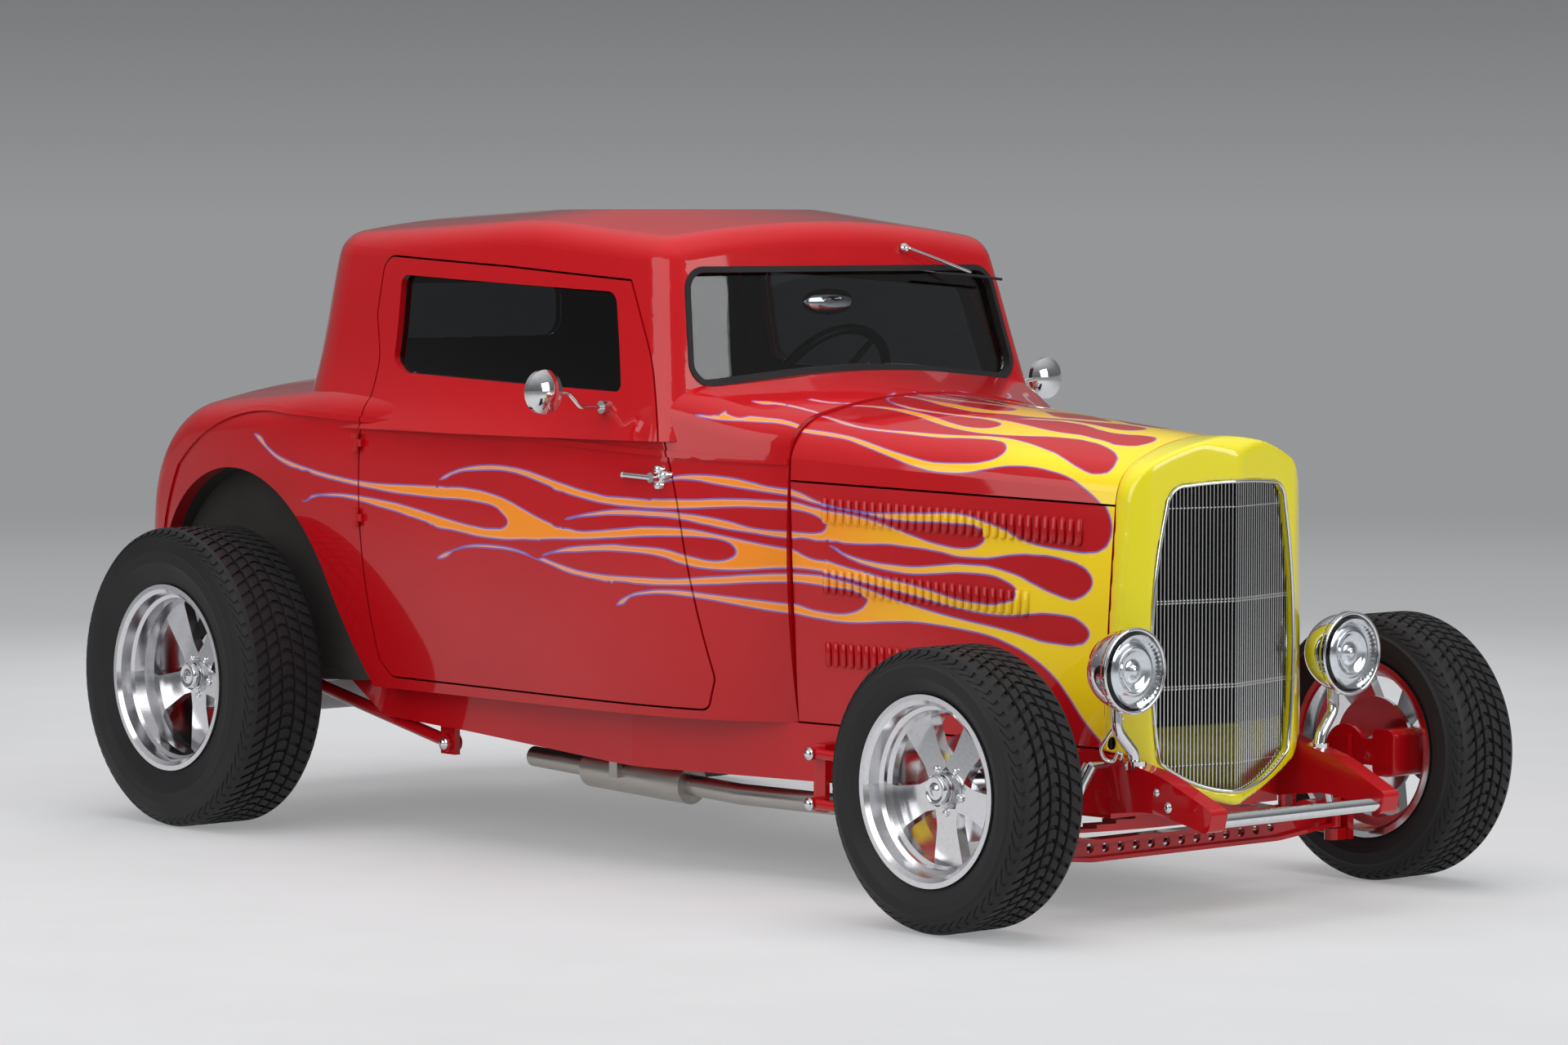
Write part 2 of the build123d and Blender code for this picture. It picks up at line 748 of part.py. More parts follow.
louvres = []
for first_x, count, z_front, z_rear, height in louvre_rows:
    for k in range(count):
        x = first_x + k * louvre_pitch
        share = (x - hood_rear) / (hood_front - hood_rear)
        z = z_rear + (z_front - z_rear) * share
        y_low = side_place(x, z - height / 2)
        y_high = side_place(x, z + height / 2)
        y = min(y_low, y_high) - 3
        wedge = closed(((x, y), (x, y + louvre_rise + 3), (x + louvre_length, y + 1)))
        louvres.append(prism_z(wedge, z - height / 2, z + height / 2))
hood_side = hood_side.fuse(*louvres)
keep("hood_sides", hood_side, mirrored(hood_side))

hood_rear_outline = (
    # half-width and height: seam, start of the corner, corner, end of the corner, middle
    (439, hood_seam_rear + panel_gap), (437, 985), (412, 1036), (352, 1078), (0, 1125),
)
hood_front_outline = (
    (269, hood_seam_front + panel_gap), (264, 936), (243, 976), (205, 1003), (0, 1054),
)


def hood_top_section(points, x, inset):
    (y0, z0), (y1, z1), (y2, z2), (y3, z3), (_, z4) = points
    y0, y1, z4 = y0 - inset, y1 - inset, z4 - inset
    y2, z2 = y2 - inset * 0.75, z2 - inset * 0.66
    y3, z3 = y3 - inset * 0.3, z3 - inset
    outline = (
        Line((y0, z0), (y1, z1))
        + ThreePointArc((y1, z1), (y2, z2), (y3, z3))
        + ThreePointArc((y3, z3), (0, z4), (-y3, z3))
        + ThreePointArc((-y3, z3), (-y2, z2), (-y1, z1))
        + Line((-y1, z1), (-y0, z0))
        + Line((-y0, z0), (y0, z0))
    )
    return plane_x(x) * make_face(outline)


def hood_form(inset):
    return loft([
        hood_top_section(hood_front_outline, hood_front, inset),
        hood_top_section(hood_rear_outline, hood_rear, inset),
    ])


hood_top = hood_form(0) - hood_form(hood_skin)
keep("hood_top", hood_top)
ledge_form = hood_form(hood_skin + seat_gap) - hood_form(hood_skin + 12)
rear_ledge = ledge_form & block(hood_rear, hood_rear + 26, -500, 500, 700, 1200)
front_ledge = ledge_form & block(hood_front - 30, hood_front, -500, 500, 700, 1200)


def ledge_ring(outline, x, length):
    # A short straight run of the ledge's section, from x onwards.
    band = (hood_top_section(outline, x, hood_skin + 5 * seat_gap)
            - hood_top_section(outline, x, hood_skin + 12))
    return extrude(band, length, dir=(1, 0, 0))


rear_ledge = rear_ledge + ledge_ring(hood_rear_outline, cowl_front - 2, 12)
front_ledge = front_ledge + ledge_ring(hood_front_outline, hood_front - 2, 18)

# Wheels: a deep polished rim with five spokes, its tyre, and a brake disc behind the spokes.


def spoked_wheel(rim, half, face, hub_in, bore_depth, x, y, z):
    lip = rim + 14
    rim_profile = (
        (-half, rim), (-half, lip), (-half + 6, lip), (-half + 10, rim), (-half + 46, rim - 3),
        (-half + 58, rim - 22), (0, rim - 24), (half - 40, rim - 22), (half - 28, rim - 3),
        (half - 10, rim), (half - 7, lip), (half, lip), (half, rim + 2), (half - 8, rim - 8),
        (half - 40, rim - 14), (face + 26, rim - 30), (face + 10, rim - 32), (-half + 50, rim - 30), (-half + 42, rim - 10),
        (-half + 2, rim - 7),
    )
    wheel = lathe_y(rim_profile, 0, 0, 0, 1)
    hub = lathe_y(((hub_in, 0), (hub_in, 52), (face, 58), (face + 12, 46), (face + 30, 38), (face + 34, 0)), 0, 0, 0, 1)
    wheel = wheel + hub
    inner, outer = 40.0, rim - 28
    for k in range(5):
        angle = 90 + k * 72
        spoke_plan = closed(
            ((inner, -34), (inner + 40, -30), (outer, -46), (outer, 46), (inner + 40, 30), (inner, 34)),
            (2, 60, 2, 2, 60, 2),
        )
        spoke_side = closed(
            ((inner, face - 6), (outer, face - 16), (outer, face + 12), (inner, face + 20)),
        )
        spoke = extrude(Plane.XZ * spoke_plan, 60, both=True)
        side = extrude(Plane.XY * spoke_side, 60, both=True)
        wheel += Rotation(0, angle, 0) * (spoke & side)
    wheel = wheel - rod((0, hub_in - 5, 0), (0, hub_in + bore_depth, 0), spindle_radius + running_gap)
    return Pos(x, y, z) * wheel


def tyre_ring(radius, width, rim, half, x, y, z):
    bead_edge = half - 10.4
    shoulder_in = width / 2 - 34
    profile = (
        Line((-bead_edge, rim + seat_gap), (-bead_edge, rim + 14))
        + ThreePointArc((-bead_edge, rim + 14), (-width / 2, (rim + radius) / 2 + 8), (-width / 2 + 10, radius - 22))
        + Line((-width / 2 + 10, radius - 22), (-shoulder_in, radius))
        + Line((-shoulder_in, radius), (shoulder_in, radius))
        + Line((shoulder_in, radius), (width / 2 - 10, radius - 22))
        + ThreePointArc((width / 2 - 10, radius - 22), (width / 2, (rim + radius) / 2 + 8), (bead_edge, rim + 14))
        + Line((bead_edge, rim + 14), (bead_edge, rim + seat_gap))
        + Line((bead_edge, rim + seat_gap), (-bead_edge, rim + seat_gap))
    )
    ring = revolve(Plane.XY * make_face(profile), Axis.X)
    return Pos(x, y, z) * Rotation(0, 0, 90) * ring


wheel_table = (
    # name, axle x, sideways place, tyre radius, tyre width, rim radius, half the rim width, face, hub, bore
    ("front", front_x, front_y, front_tyre_radius, front_tyre_width, front_rim_radius, 92.0, 8.0, -40.0, 58.0),
    ("rear", rear_x, rear_y, rear_tyre_radius, rear_tyre_width, rear_rim_radius, 112.0, -8.0, -60.0, 58.0),
)
for end, x, y, radius, width, rim, half, face, hub_in, bore_depth in wheel_table:
    wheel = spoked_wheel(rim, half, face, hub_in, bore_depth, x, y, radius)
    disc = rod((x, y + hub_in - 10.3, radius), (x, y + hub_in - 0.3, radius), 118)
    disc = disc - rod((x, y + hub_in - 20, radius), (x, y + hub_in + 20, radius), 26)
    tyre = tyre_ring(radius, width, rim, half, x, y, radius)
    keep(f"wheel_{end}_left", wheel, disc)
    keep(f"wheel_{end}_right", mirrored(wheel), mirrored(disc))
    keep(f"tyre_{end}_left", tyre)
    keep(f"tyre_{end}_right", mirrored(tyre))

# Front knuckles: a forked upright on the kingpin, the spindle, the steering arm and a caliper.

knuckle_low, knuckle_high = 104.0, 246.0
arm_x, arm_y, arm_z = front_x - 152, 470.0, 115.0
tie_radius = 11.0
pin_radius = 7.0
knuckles = []
disc_inner_y = front_y - 40 - 10.3
for side in (1, -1):
    def at(value):
        return side * value

    ky = kingpin_y
    body = rod((front_x, at(ky), knuckle_low), (front_x, at(ky), knuckle_high), kingpin_radius)
    for z0, z1 in ((knuckle_low, boss_low - 3), (boss_high + 3, knuckle_high)):
        body += rod((front_x, at(ky), z0), (front_x, at(ky), z1), 19)
        ear_y = sorted((at(ky), at(ky + 46)))
        body += block(front_x - 19, front_x + 19, *ear_y, z0, z1)
    web_y = sorted((at(ky + 26), at(ky + 46)))
    body += block(front_x - 24, front_x + 24, *web_y, knuckle_low, front_tyre_radius + 38)
    body += rod((front_x, at(ky + 30), front_tyre_radius), (front_x, at(front_y + 14), front_tyre_radius), spindle_radius)
    body += rod((front_x, at(ky + 40), front_tyre_radius), (front_x, at(ky + 50), front_tyre_radius), 60)
    body += rod((front_x - 4, at(ky + 24), knuckle_low + 16), (arm_x + 2, at(arm_y), arm_z + 25), 9)
    body += rod((arm_x, at(arm_y), arm_z + 13.5), (arm_x, at(arm_y), arm_z + 32), 15)
    body += rod((arm_x, at(arm_y), arm_z - 16), (arm_x, at(arm_y), arm_z + 30), pin_radius)
    cal_y = sorted((at(ky + 42), at(disc_inner_y + 26)))
    caliper = block(front_x + 84, front_x + 148, *cal_y, 256, 364)
    caliper = fillet(caliper.edges().filter_by(Axis.Y), 18)
    slot_y = sorted((at(disc_inner_y - 5), at(disc_inner_y + 15.3)))
    caliper = caliper - (Pos(front_x, (slot_y[0] + slot_y[1]) / 2, front_tyre_radius)
                         * Rotation(90, 0, 0) * Cylinder(124, slot_y[1] - slot_y[0]))
    plate_y = sorted((at(ky + 40), at(ky + 50)))
    body += block(front_x + 10, front_x + 130, *plate_y, 280, 340) + caliper
    knuckles.append(body)
keep("knuckle_left", knuckles[0])
keep("knuckle_right", knuckles[1])
tie = rod((arm_x, -arm_y, arm_z), (arm_x, arm_y - 22, arm_z), tie_radius)
tie += rod((arm_x, -arm_y, arm_z - 13), (arm_x, -arm_y, arm_z + 12.7), 17)
tie = tie - rod((arm_x, -arm_y, arm_z - 30), (arm_x, -arm_y, arm_z + 30), pin_radius + running_gap)
keep("tie_rod", tie)

# Cabin: a pressed floor over the rails, wheel tubs, a bulkhead, the seat, the dash and the column.

floor_thickness = 10.0
floor_line = ((500, 372), (-872, 372), (-1166, 522), (-1545, 504), (-1702, 372), (-1925, 372))
floor_strip = closed(
    floor_line + tuple((x, z + floor_thickness) for x, z in reversed(floor_line))
)
floor_sheet = prism_y(floor_strip, -640, 640)
bulkhead = block(-1046, -1036, -700, 700, 440, 1150)
tubs = tub_blank + mirrored(tub_blank)
floor_pan = ((floor_sheet + bulkhead) & low_inner) - tubs - both_rails
floor_pan = floor_pan + tub + mirrored(tub)
keep("floor_pan", floor_pan)

cushion = fillet(block(-858, -380, -500, 500, 372 + floor_thickness + seat_gap, 575).edges().filter_by(Axis.Y), 45)
back_side = closed(
    ((-866, 420), (-1029, 505), (-1035.7, 1096), (-945, 1108), (-868, 600)), (20, 40, 40, 40, 60)
)
keep("seat", cushion, prism_y(back_side, -520, 520))

dash = block(236, 300, -530, 530, 955, 1098)
dash = fillet(dash.edges().filter_by(Axis.Y).group_by(Axis.X)[0], 18)
dash = (dash + block(292, 302, -640, 640, 955, 1098)) & low_inner
keep("dashboard", dash)

column_top = (-230, 330, 1100)
column_run = Vector(650, 0, -360).normalized()
column_base = Vector(*column_top) + column_run * (728 / column_run.X)
steering_radius = 185.0
grip_radius = 13.0
column = rod(column_top, tuple(column_base), 22) - block(499.7, 700, 0, 600, 300, 900)
wheel_plane = Plane(origin=column_top, z_dir=column_run)
grip = wheel_plane * Torus(steering_radius, grip_radius)
steering = column + grip + wheel_plane * Cylinder(42, 34)
for k in range(3):
    angle = math.radians(90 + 120 * k)
    tip = wheel_plane.from_local_coords((steering_radius * math.cos(angle), steering_radius * math.sin(angle), 0))
    steering += rod(column_top, tuple(tip), 8)
keep("steering_wheel", steering - dash)

# Door hardware: two small outside hinges at the back edge, a lever handle and a round mirror on an arm.

hinge_x, hinge_y = -812.5, 702.2
hinge_radius = 6.0
hinge_pin = 2.5
hinge_heights = (800, 985)
sleeve_half = 10.0
lug_half = 22.0
door_hinge = None
body_hinge = None
for z in hinge_heights:
    leaf = block(hinge_x + 3, hinge_x + 20, 620, hinge_y + 2, z - sleeve_half + 1, z + sleeve_half - 1)
    sleeve = rod((hinge_x, hinge_y, z - sleeve_half), (hinge_x, hinge_y, z + sleeve_half), hinge_radius)
    bore = rod((hinge_x, hinge_y, z - 40), (hinge_x, hinge_y, z + 40), hinge_pin + running_gap)
    moving = (leaf - low_inner) + sleeve - bore
    pin = rod((hinge_x, hinge_y, z - lug_half), (hinge_x, hinge_y, z + lug_half), hinge_pin)
    fixed = pin
    for z0, z1 in ((z - lug_half, z - sleeve_half - 1), (z + sleeve_half + 1, z + lug_half)):
        fixed += rod((hinge_x, hinge_y, z0), (hinge_x, hinge_y, z1), hinge_radius)
        fixed += block(hinge_x - 20, hinge_x - 3, 620, hinge_y + 2, z0, z1) - low_inner
    door_hinge = moving if door_hinge is None else door_hinge + moving
    body_hinge = fixed if body_hinge is None else body_hinge + fixed

door = door_left.fuse(bead_door, door_hinge)
keep("door_left", door)
keep("door_right", mirrored(door))
keep("door_glass_left", door_glass)
keep("door_glass_right", mirrored(door_glass))

handle_x, handle_z = 246.0, 937.0
handle = rod((handle_x, 560, handle_z), (handle_x, 636, handle_z), 12)
handle += rod((handle_x, 632, handle_z), (handle_x - 105, 630, handle_z + 3), 7)
handle += Pos(handle_x - 105, 630, handle_z + 3) * Sphere(8)
mirror_x, mirror_y, mirror_z = 71.0, 800.0, 1135.0
mirror_radius = 52.0
mirror_arm = bent_tube(
    ((mirror_x, 580, 1096), (mirror_x, 700, 1096), (mirror_x, 735, 1130), (mirror_x, mirror_y, mirror_z)),
    (26, 26), 5.5,
)
mirror_foot = rod((mirror_x, 580, 1096), (mirror_x, 640, 1096), 15)
head_profile = (
    Line((-10, 0), (-10, mirror_radius))
    + Line((-10, mirror_radius), (2, mirror_radius))
    + ThreePointArc((2, mirror_radius), (16, 30), (22, 0))
    + Line((22, 0), (-10, 0))
)
head = Pos(mirror_x, mirror_y + 8, mirror_z) * revolve(Plane.XY * make_face(head_profile), Axis.X)
trim = (handle + (mirror_arm + mirror_foot + head)) - door - low_inner
trim_pieces = [s for s in trim.solids() if s.bounding_box().max.Y > 640 or s.center().Y > 590]
keep("door_trim_left", *trim_pieces)
keep("door_trim_right", *[mirrored(s) for s in trim_pieces])

# Deck lid hinges on its front edge

lid_hinge_x, lid_hinge_z = -1347.5, 1146.0
lid_hinge_radius = 7.0
lid_pin = 3.0
lid_moving = None
lid_fixed = None
for y in (-300, 300):
    sleeve = rod((lid_hinge_x, y - 14, lid_hinge_z), (lid_hinge_x, y + 14, lid_hinge_z), lid_hinge_radius)
    bore = rod((lid_hinge_x, y - 40, lid_hinge_z), (lid_hinge_x, y + 40, lid_hinge_z), lid_pin + running_gap)
    leaf = block(lid_hinge_x - 34, lid_hinge_x - 3, y - 13, y + 13, 1118, lid_hinge_z + 2)
    moving = leaf + sleeve - bore
    fixed = rod((lid_hinge_x, y - 32, lid_hinge_z), (lid_hinge_x, y + 32, lid_hinge_z), lid_pin)
    for y0, y1 in ((y - 32, y - 15), (y + 15, y + 32)):
        fixed += rod((lid_hinge_x, y0, lid_hinge_z), (lid_hinge_x, y1, lid_hinge_z), lid_hinge_radius)
        fixed += block(lid_hinge_x + 3, lid_hinge_x + 34, y0, y1, 1118, lid_hinge_z + 2)
    lid_moving = moving if lid_moving is None else lid_moving + moving
    lid_fixed = fixed if lid_fixed is None else lid_fixed + fixed
keep("deck_lid", deck_lid + lid_moving)
rear_body = rear_body.fuse(body_hinge, mirrored(body_hinge), lid_fixed)

lamp_height = 455.0
tail_lamps = []
for side in (1, -1):
    lamp = rod((-1880, side * 420, lamp_height), (-1962, side * 420, lamp_height), 38)
    tail_lamps.append(lamp - low_outer)
keep("tail_lamps", *[max(t.solids(), key=lambda s: -s.center().X) for t in tail_lamps])

keep("rear_body", rear_body)
keep("roof_panel", roof_panel)
keep("cowl", cowl + rear_ledge)
keep("window_seals", screen_seal, back_seal)
keep("fixed_glass", screen_glass, back_glass)
core = core + front_ledge - radiator_shell - hood_side - mirrored(hood_side)
keep("radiator_core", core)

# Every piece moves forward by half the difference between nose and tail, and is written out.

everything = Compound([s for found in pieces.values() for s in found]).bounding_box()
shift = -(everything.min.X + everything.max.X) / 2
for name, found in pieces.items():
    moved = [Pos(shift, 0, 0) * s for s in found]
    export_step(moved[0] if len(moved) == 1 else Compound(moved), f"parts/{name}.step")
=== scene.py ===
import math

import bmesh
import bpy
from mathutils import Matrix, Vector


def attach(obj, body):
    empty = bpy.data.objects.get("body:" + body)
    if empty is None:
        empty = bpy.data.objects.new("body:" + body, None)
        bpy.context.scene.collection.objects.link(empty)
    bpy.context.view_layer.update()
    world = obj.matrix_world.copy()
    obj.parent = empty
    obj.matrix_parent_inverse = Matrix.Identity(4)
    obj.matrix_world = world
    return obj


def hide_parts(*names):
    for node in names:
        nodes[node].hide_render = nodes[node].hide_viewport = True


# Studio: a pale round floor that fades into grey air, large soft lamps, and a long lens that looks
# down a little at the car's front right corner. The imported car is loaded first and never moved.

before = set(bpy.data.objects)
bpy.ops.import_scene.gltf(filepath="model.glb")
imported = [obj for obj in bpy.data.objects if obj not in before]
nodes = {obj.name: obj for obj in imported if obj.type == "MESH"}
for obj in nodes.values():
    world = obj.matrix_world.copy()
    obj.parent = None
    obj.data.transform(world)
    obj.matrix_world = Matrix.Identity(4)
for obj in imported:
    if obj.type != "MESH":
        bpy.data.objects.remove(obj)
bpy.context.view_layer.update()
scene = bpy.context.scene
axle_middle, half_wheelbase = 0.1158636, 1.346
front_axle_x, rear_axle_x = axle_middle + half_wheelbase, axle_middle - half_wheelbase
sensor_width, lens_pixels, picture_pixels, far_clip = 36.0, 6154.9, 1920, 60
camera_place = (9.2384 + axle_middle, -8.0391, 1.5299)
heading, dip = math.radians(139.006), math.radians(3.426)


def aimed(place, direction):
    # Where a camera or a lamp stands, turned to look along a direction.
    return Matrix.Translation(place) @ direction.to_track_quat("-Z", "Y").to_matrix().to_4x4()


view = bpy.data.cameras.new("view")
view.sensor_width = sensor_width
view.lens = lens_pixels / picture_pixels * sensor_width
view.clip_end = far_clip
camera = bpy.data.objects.new("view", view)
scene.collection.objects.link(camera)
looking = Vector((math.cos(heading) * math.cos(dip), math.sin(heading) * math.cos(dip), -math.sin(dip)))
camera.matrix_world = aimed(camera_place, looking)
scene.camera = camera
scene.view_settings.view_transform = "Standard"


def put(tree, kind, *links, **values):
    # A new shader node with its plain values set and its inputs linked, in order, from other sockets.
    node = tree.nodes.new("ShaderNode" + kind)
    sockets = values.pop("sockets", {})
    for name, value in values.items():
        setattr(node, name, value)
    for name, value in sockets.items():
        if isinstance(value, bpy.types.NodeSocket):
            tree.links.new(value, node.inputs[name])
        else:
            node.inputs[name].default_value = value
    for index, link in enumerate(links):
        if isinstance(link, bpy.types.NodeSocket):
            tree.links.new(link, node.inputs[index])
        elif link is not None:
            node.inputs[index].default_value = link
    return node


def calc(tree, operation, *links, **values):
    return put(tree, "Math", *links, operation=operation, **values).outputs[0]


def ramp(tree, value, low, high, start=0.0, end=1.0):
    node = put(tree, "MapRange", value, low, high, start, end, interpolation_type="SMOOTHSTEP")
    return node.outputs[0]


def mix(tree, share, first, second):
    node = put(tree, "Mix", data_type="RGBA")
    for socket, value in ((node.inputs[0], share), (node.inputs[6], first), (node.inputs[7], second)):
        if isinstance(value, bpy.types.NodeSocket):
            tree.links.new(value, socket)
        else:
            socket.default_value = value
    return node.outputs[2]


def finish_named(name, colour, roughness=0.5, metallic=0.0, **more):
    # A material with one Principled shader. Returns the material, its tree and the shader.
    material = bpy.data.materials.new(name)
    material.use_nodes = True
    shader = material.node_tree.nodes["Principled BSDF"]
    shader.inputs["Base Color"].default_value = (*colour, 1)
    shader.inputs["Roughness"].default_value = roughness
    shader.inputs["Metallic"].default_value = metallic
    for key, value in more.items():
        shader.inputs[key.replace("_", " ")].default_value = value
    return material, material.node_tree, shader


def place_of(tree):
    return put(tree, "TexCoord").outputs["Object"]


def split(tree, vector):
    return put(tree, "SeparateXYZ", vector).outputs


def seen_straight(tree):
    # One for rays from the camera, through glass or off polish, and nothing for soft light.
    path = put(tree, "LightPath")
    seen = calc(tree, "MAXIMUM", path.outputs["Is Camera Ray"], path.outputs["Is Transmission Ray"])
    return calc(tree, "MAXIMUM", seen, path.outputs["Is Glossy Ray"])


floor_shown, studio_far = (0.66, 0.67, 0.68), (0.30, 0.305, 0.31)
floor_dull, floor_light = (0.60, 0.60, 0.61), (0.68, 0.68, 0.69)
fade_start, fade_end, floor_radius = 3.5, 15.0, 60.0
glow_near, glow_gain = 0.4, 0.6


def backdrop(name):
    # Near the car the floor is pale and takes its shadow; far out it fades into the studio's grey.
    material, tree, shader = finish_named(name, floor_shown, 0.75)
    place = place_of(tree)
    grain = put(tree, "TexNoise", place, sockets={"Scale": 3.0, "Detail": 3.0}).outputs[0]
    distance = put(tree, "VectorMath", place, operation="LENGTH").outputs["Value"]
    away = ramp(tree, distance, fade_start, fade_end)
    pale = mix(tree, grain, (*floor_dull, 1), (*floor_light, 1))
    tree.links.new(mix(tree, away, pale, (*studio_far, 1)), shader.inputs["Base Color"])
    glow = put(tree, "Emission", mix(tree, away, (*floor_shown, 1), (*studio_far, 1)), 1.0)
    share = calc(tree, "MULTIPLY_ADD", away, glow_gain, glow_near)
    share = calc(tree, "MULTIPLY", seen_straight(tree), share)
    blend = put(tree, "MixShader", share, shader.outputs[0], glow.outputs[0])
    tree.links.new(blend.outputs[0], tree.nodes["Material Output"].inputs["Surface"])
    return material


def settled(name, bm, material, body="chassis", smooth=True):
    # The finished mesh of a new piece: an object at the origin, with its one material, riding its body.
    mesh = bpy.data.meshes.new(name)
    bm.to_mesh(mesh)
    bm.free()
    mesh.materials.append(material)
    for face in mesh.polygons:
        face.use_smooth = smooth
    piece = bpy.data.objects.new(name, mesh)
    scene.collection.objects.link(piece)
    if body:
        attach(piece, body)
    return piece


disc = bmesh.new()
bmesh.ops.create_circle(disc, cap_ends=True, segments=96, radius=floor_radius)
floor = settled("floor", disc, backdrop("studio_grey"), body=None, smooth=False)

soft_light, soft_strength, overhead = (0.78, 0.8, 0.83, 1), 0.26, (0.80, 0.81, 0.82, 1)
wall_greys = ((0.07, 0.13), (0.35, 0.20), (0.62, 0.42))
world = bpy.data.worlds.new("studio")
world.use_nodes = True
air = world.node_tree
plain = air.nodes["Background"]
plain.inputs[0].default_value = soft_light
plain.inputs[1].default_value = soft_strength
walls = put(air, "ValToRGB", split(air, put(air, "TexCoord").outputs["Generated"])[2])
stops = walls.color_ramp.elements
stops[0].position, stops[0].color = 0.0, (*studio_far, 1)
stops[1].position, stops[1].color = 1.0, overhead
for height, grey in wall_greys:
    stops.new(height).color = (grey, grey, grey * 1.02, 1)
shown = put(air, "Background", walls.outputs[0], 1.0)
blend = put(air, "MixShader", seen_straight(air), plain.outputs[0], shown.outputs[0])
air.links.new(blend.outputs[0], air.nodes["World Output"].inputs["Surface"])
scene.world = world

lamp_table = (
    # name, place, aim, width, length, watts, whether polish mirrors it
    ("soft_top", (0.6, -0.6, 5.6), (0.2, 0.0, 0.6), 7.5, 5.0, 340, False),
    ("soft_side", (1.2, -6.2, 3.4), (0.1, -0.6, 0.7), 7.0, 4.0, 190, True),
    ("soft_front", (6.4, 1.6, 2.8), (1.4, 0.0, 0.6), 3.4, 3.0, 120, True),
    ("soft_back", (-4.6, 3.6, 3.2), (-0.4, 0.2, 0.9), 4.0, 2.2, 120, False),
)
for name, place, aim, width, length, watts, mirrored in lamp_table:
    lamp = bpy.data.lights.new(name, "AREA")
    lamp.shape = "RECTANGLE"
    lamp.size, lamp.size_y, lamp.energy = width, length, watts
    holder = bpy.data.objects.new(name, lamp)
    holder.visible_glossy = mirrored
    scene.collection.objects.link(holder)
    holder.matrix_world = aimed(place, Vector(aim) - Vector(place))

# Red enamel with a fire pattern: the bodywork is sprayed red over steel, flames are masked off and
# sprayed yellow to orange from the nose back, pinstriped in violet by hand, and the whole car lacquered.
# Each red gap between two tongues is a table of stations from its round nose towards the tail.


def grouped(name, inputs, outputs):
    tree = bpy.data.node_groups.new(name, "ShaderNodeTree")
    for key, kind in inputs:
        tree.interface.new_socket(key, in_out="INPUT", socket_type="NodeSocket" + kind)
    for key, kind in outputs:
        tree.interface.new_socket(key, in_out="OUTPUT", socket_type="NodeSocket" + kind)
    return tree, tree.nodes.new("NodeGroupInput"), tree.nodes.new("NodeGroupOutput")


ripple_tree, ripple_in, ripple_out = grouped(
    "spray_ripple", (("Vector", "Vector"), ("Size", "Float")), (("Height", "Float"), ("Shade", "Float"))
)
fine = put(ripple_tree, "TexNoise", sockets={
    "Vector": ripple_in.outputs[0], "Scale": ripple_in.outputs[1], "Detail": 2.0, "Roughness": 0.45,
})
broad = put(ripple_tree, "TexNoise", sockets={"Vector": ripple_in.outputs[0], "Scale": 3.5, "Detail": 2.0})
ripple_tree.links.new(fine.outputs[0], ripple_out.inputs[0])
ripple_tree.links.new(broad.outputs[0], ripple_out.inputs[1])


def use_group(tree, group, *links):
    node = tree.nodes.new("ShaderNodeGroup")
    node.node_tree = group
    for index, link in enumerate(links):
        if isinstance(link, bpy.types.NodeSocket):
            tree.links.new(link, node.inputs[index])
        else:
            node.inputs[index].default_value = link
    return node.outputs


# How far apart the slope is read, how far a round nose falls away ahead, and how a gap's tail shuts.
gap_step, nose_lead, tail_run, shut_spread, curve_margin = 0.002, 0.08, 0.035, -0.003, 0.001
gap_tree, gap_in, gap_out = grouped(
    "gap_distance",
    [(key, "Float") for key in ("Across", "Centre", "Spread", "Next Centre", "Next Spread")],
    [("Distance", "Float")],
)
across, centre, spread, next_centre, next_spread = gap_in.outputs[:5]
away = calc(gap_tree, "SUBTRACT", across, centre)
away_next = calc(gap_tree, "SUBTRACT", across, next_centre)
here = calc(gap_tree, "SUBTRACT", calc(gap_tree, "MULTIPLY", away, away), spread)
beyond = calc(gap_tree, "SUBTRACT", calc(gap_tree, "MULTIPLY", away_next, away_next), next_spread)
rise = calc(gap_tree, "DIVIDE", calc(gap_tree, "SUBTRACT", beyond, here), gap_step)
slope = calc(gap_tree, "MULTIPLY", away, 2.0)
steep = calc(gap_tree, "SQRT", calc(gap_tree, "ADD", calc(gap_tree, "MULTIPLY", rise, rise),
                                    calc(gap_tree, "MULTIPLY_ADD", slope, slope, 1e-7)))
gap_tree.links.new(calc(gap_tree, "DIVIDE", here, steep), gap_out.inputs[0])


def curve_of(tree, share, points, low, high):
    # A smooth curve through given points (0 to 1 along, any value up), back in its own units.
    node = put(tree, "FloatCurve", sockets={"Value": share})
    curve = node.mapping.curves[0]
    scaled = [(t, (value - low) / (high - low)) for t, value in points]
    curve.points[0].location = scaled[0]
    curve.points[1].location = scaled[-1]
    for t, value in scaled[1:-1]:
        curve.points.new(t, value)
    for point in curve.points:
        point.handle_type = "AUTO_CLAMPED"
    node.mapping.update()
    return calc(tree, "MULTIPLY_ADD", node.outputs[0], high - low, low)


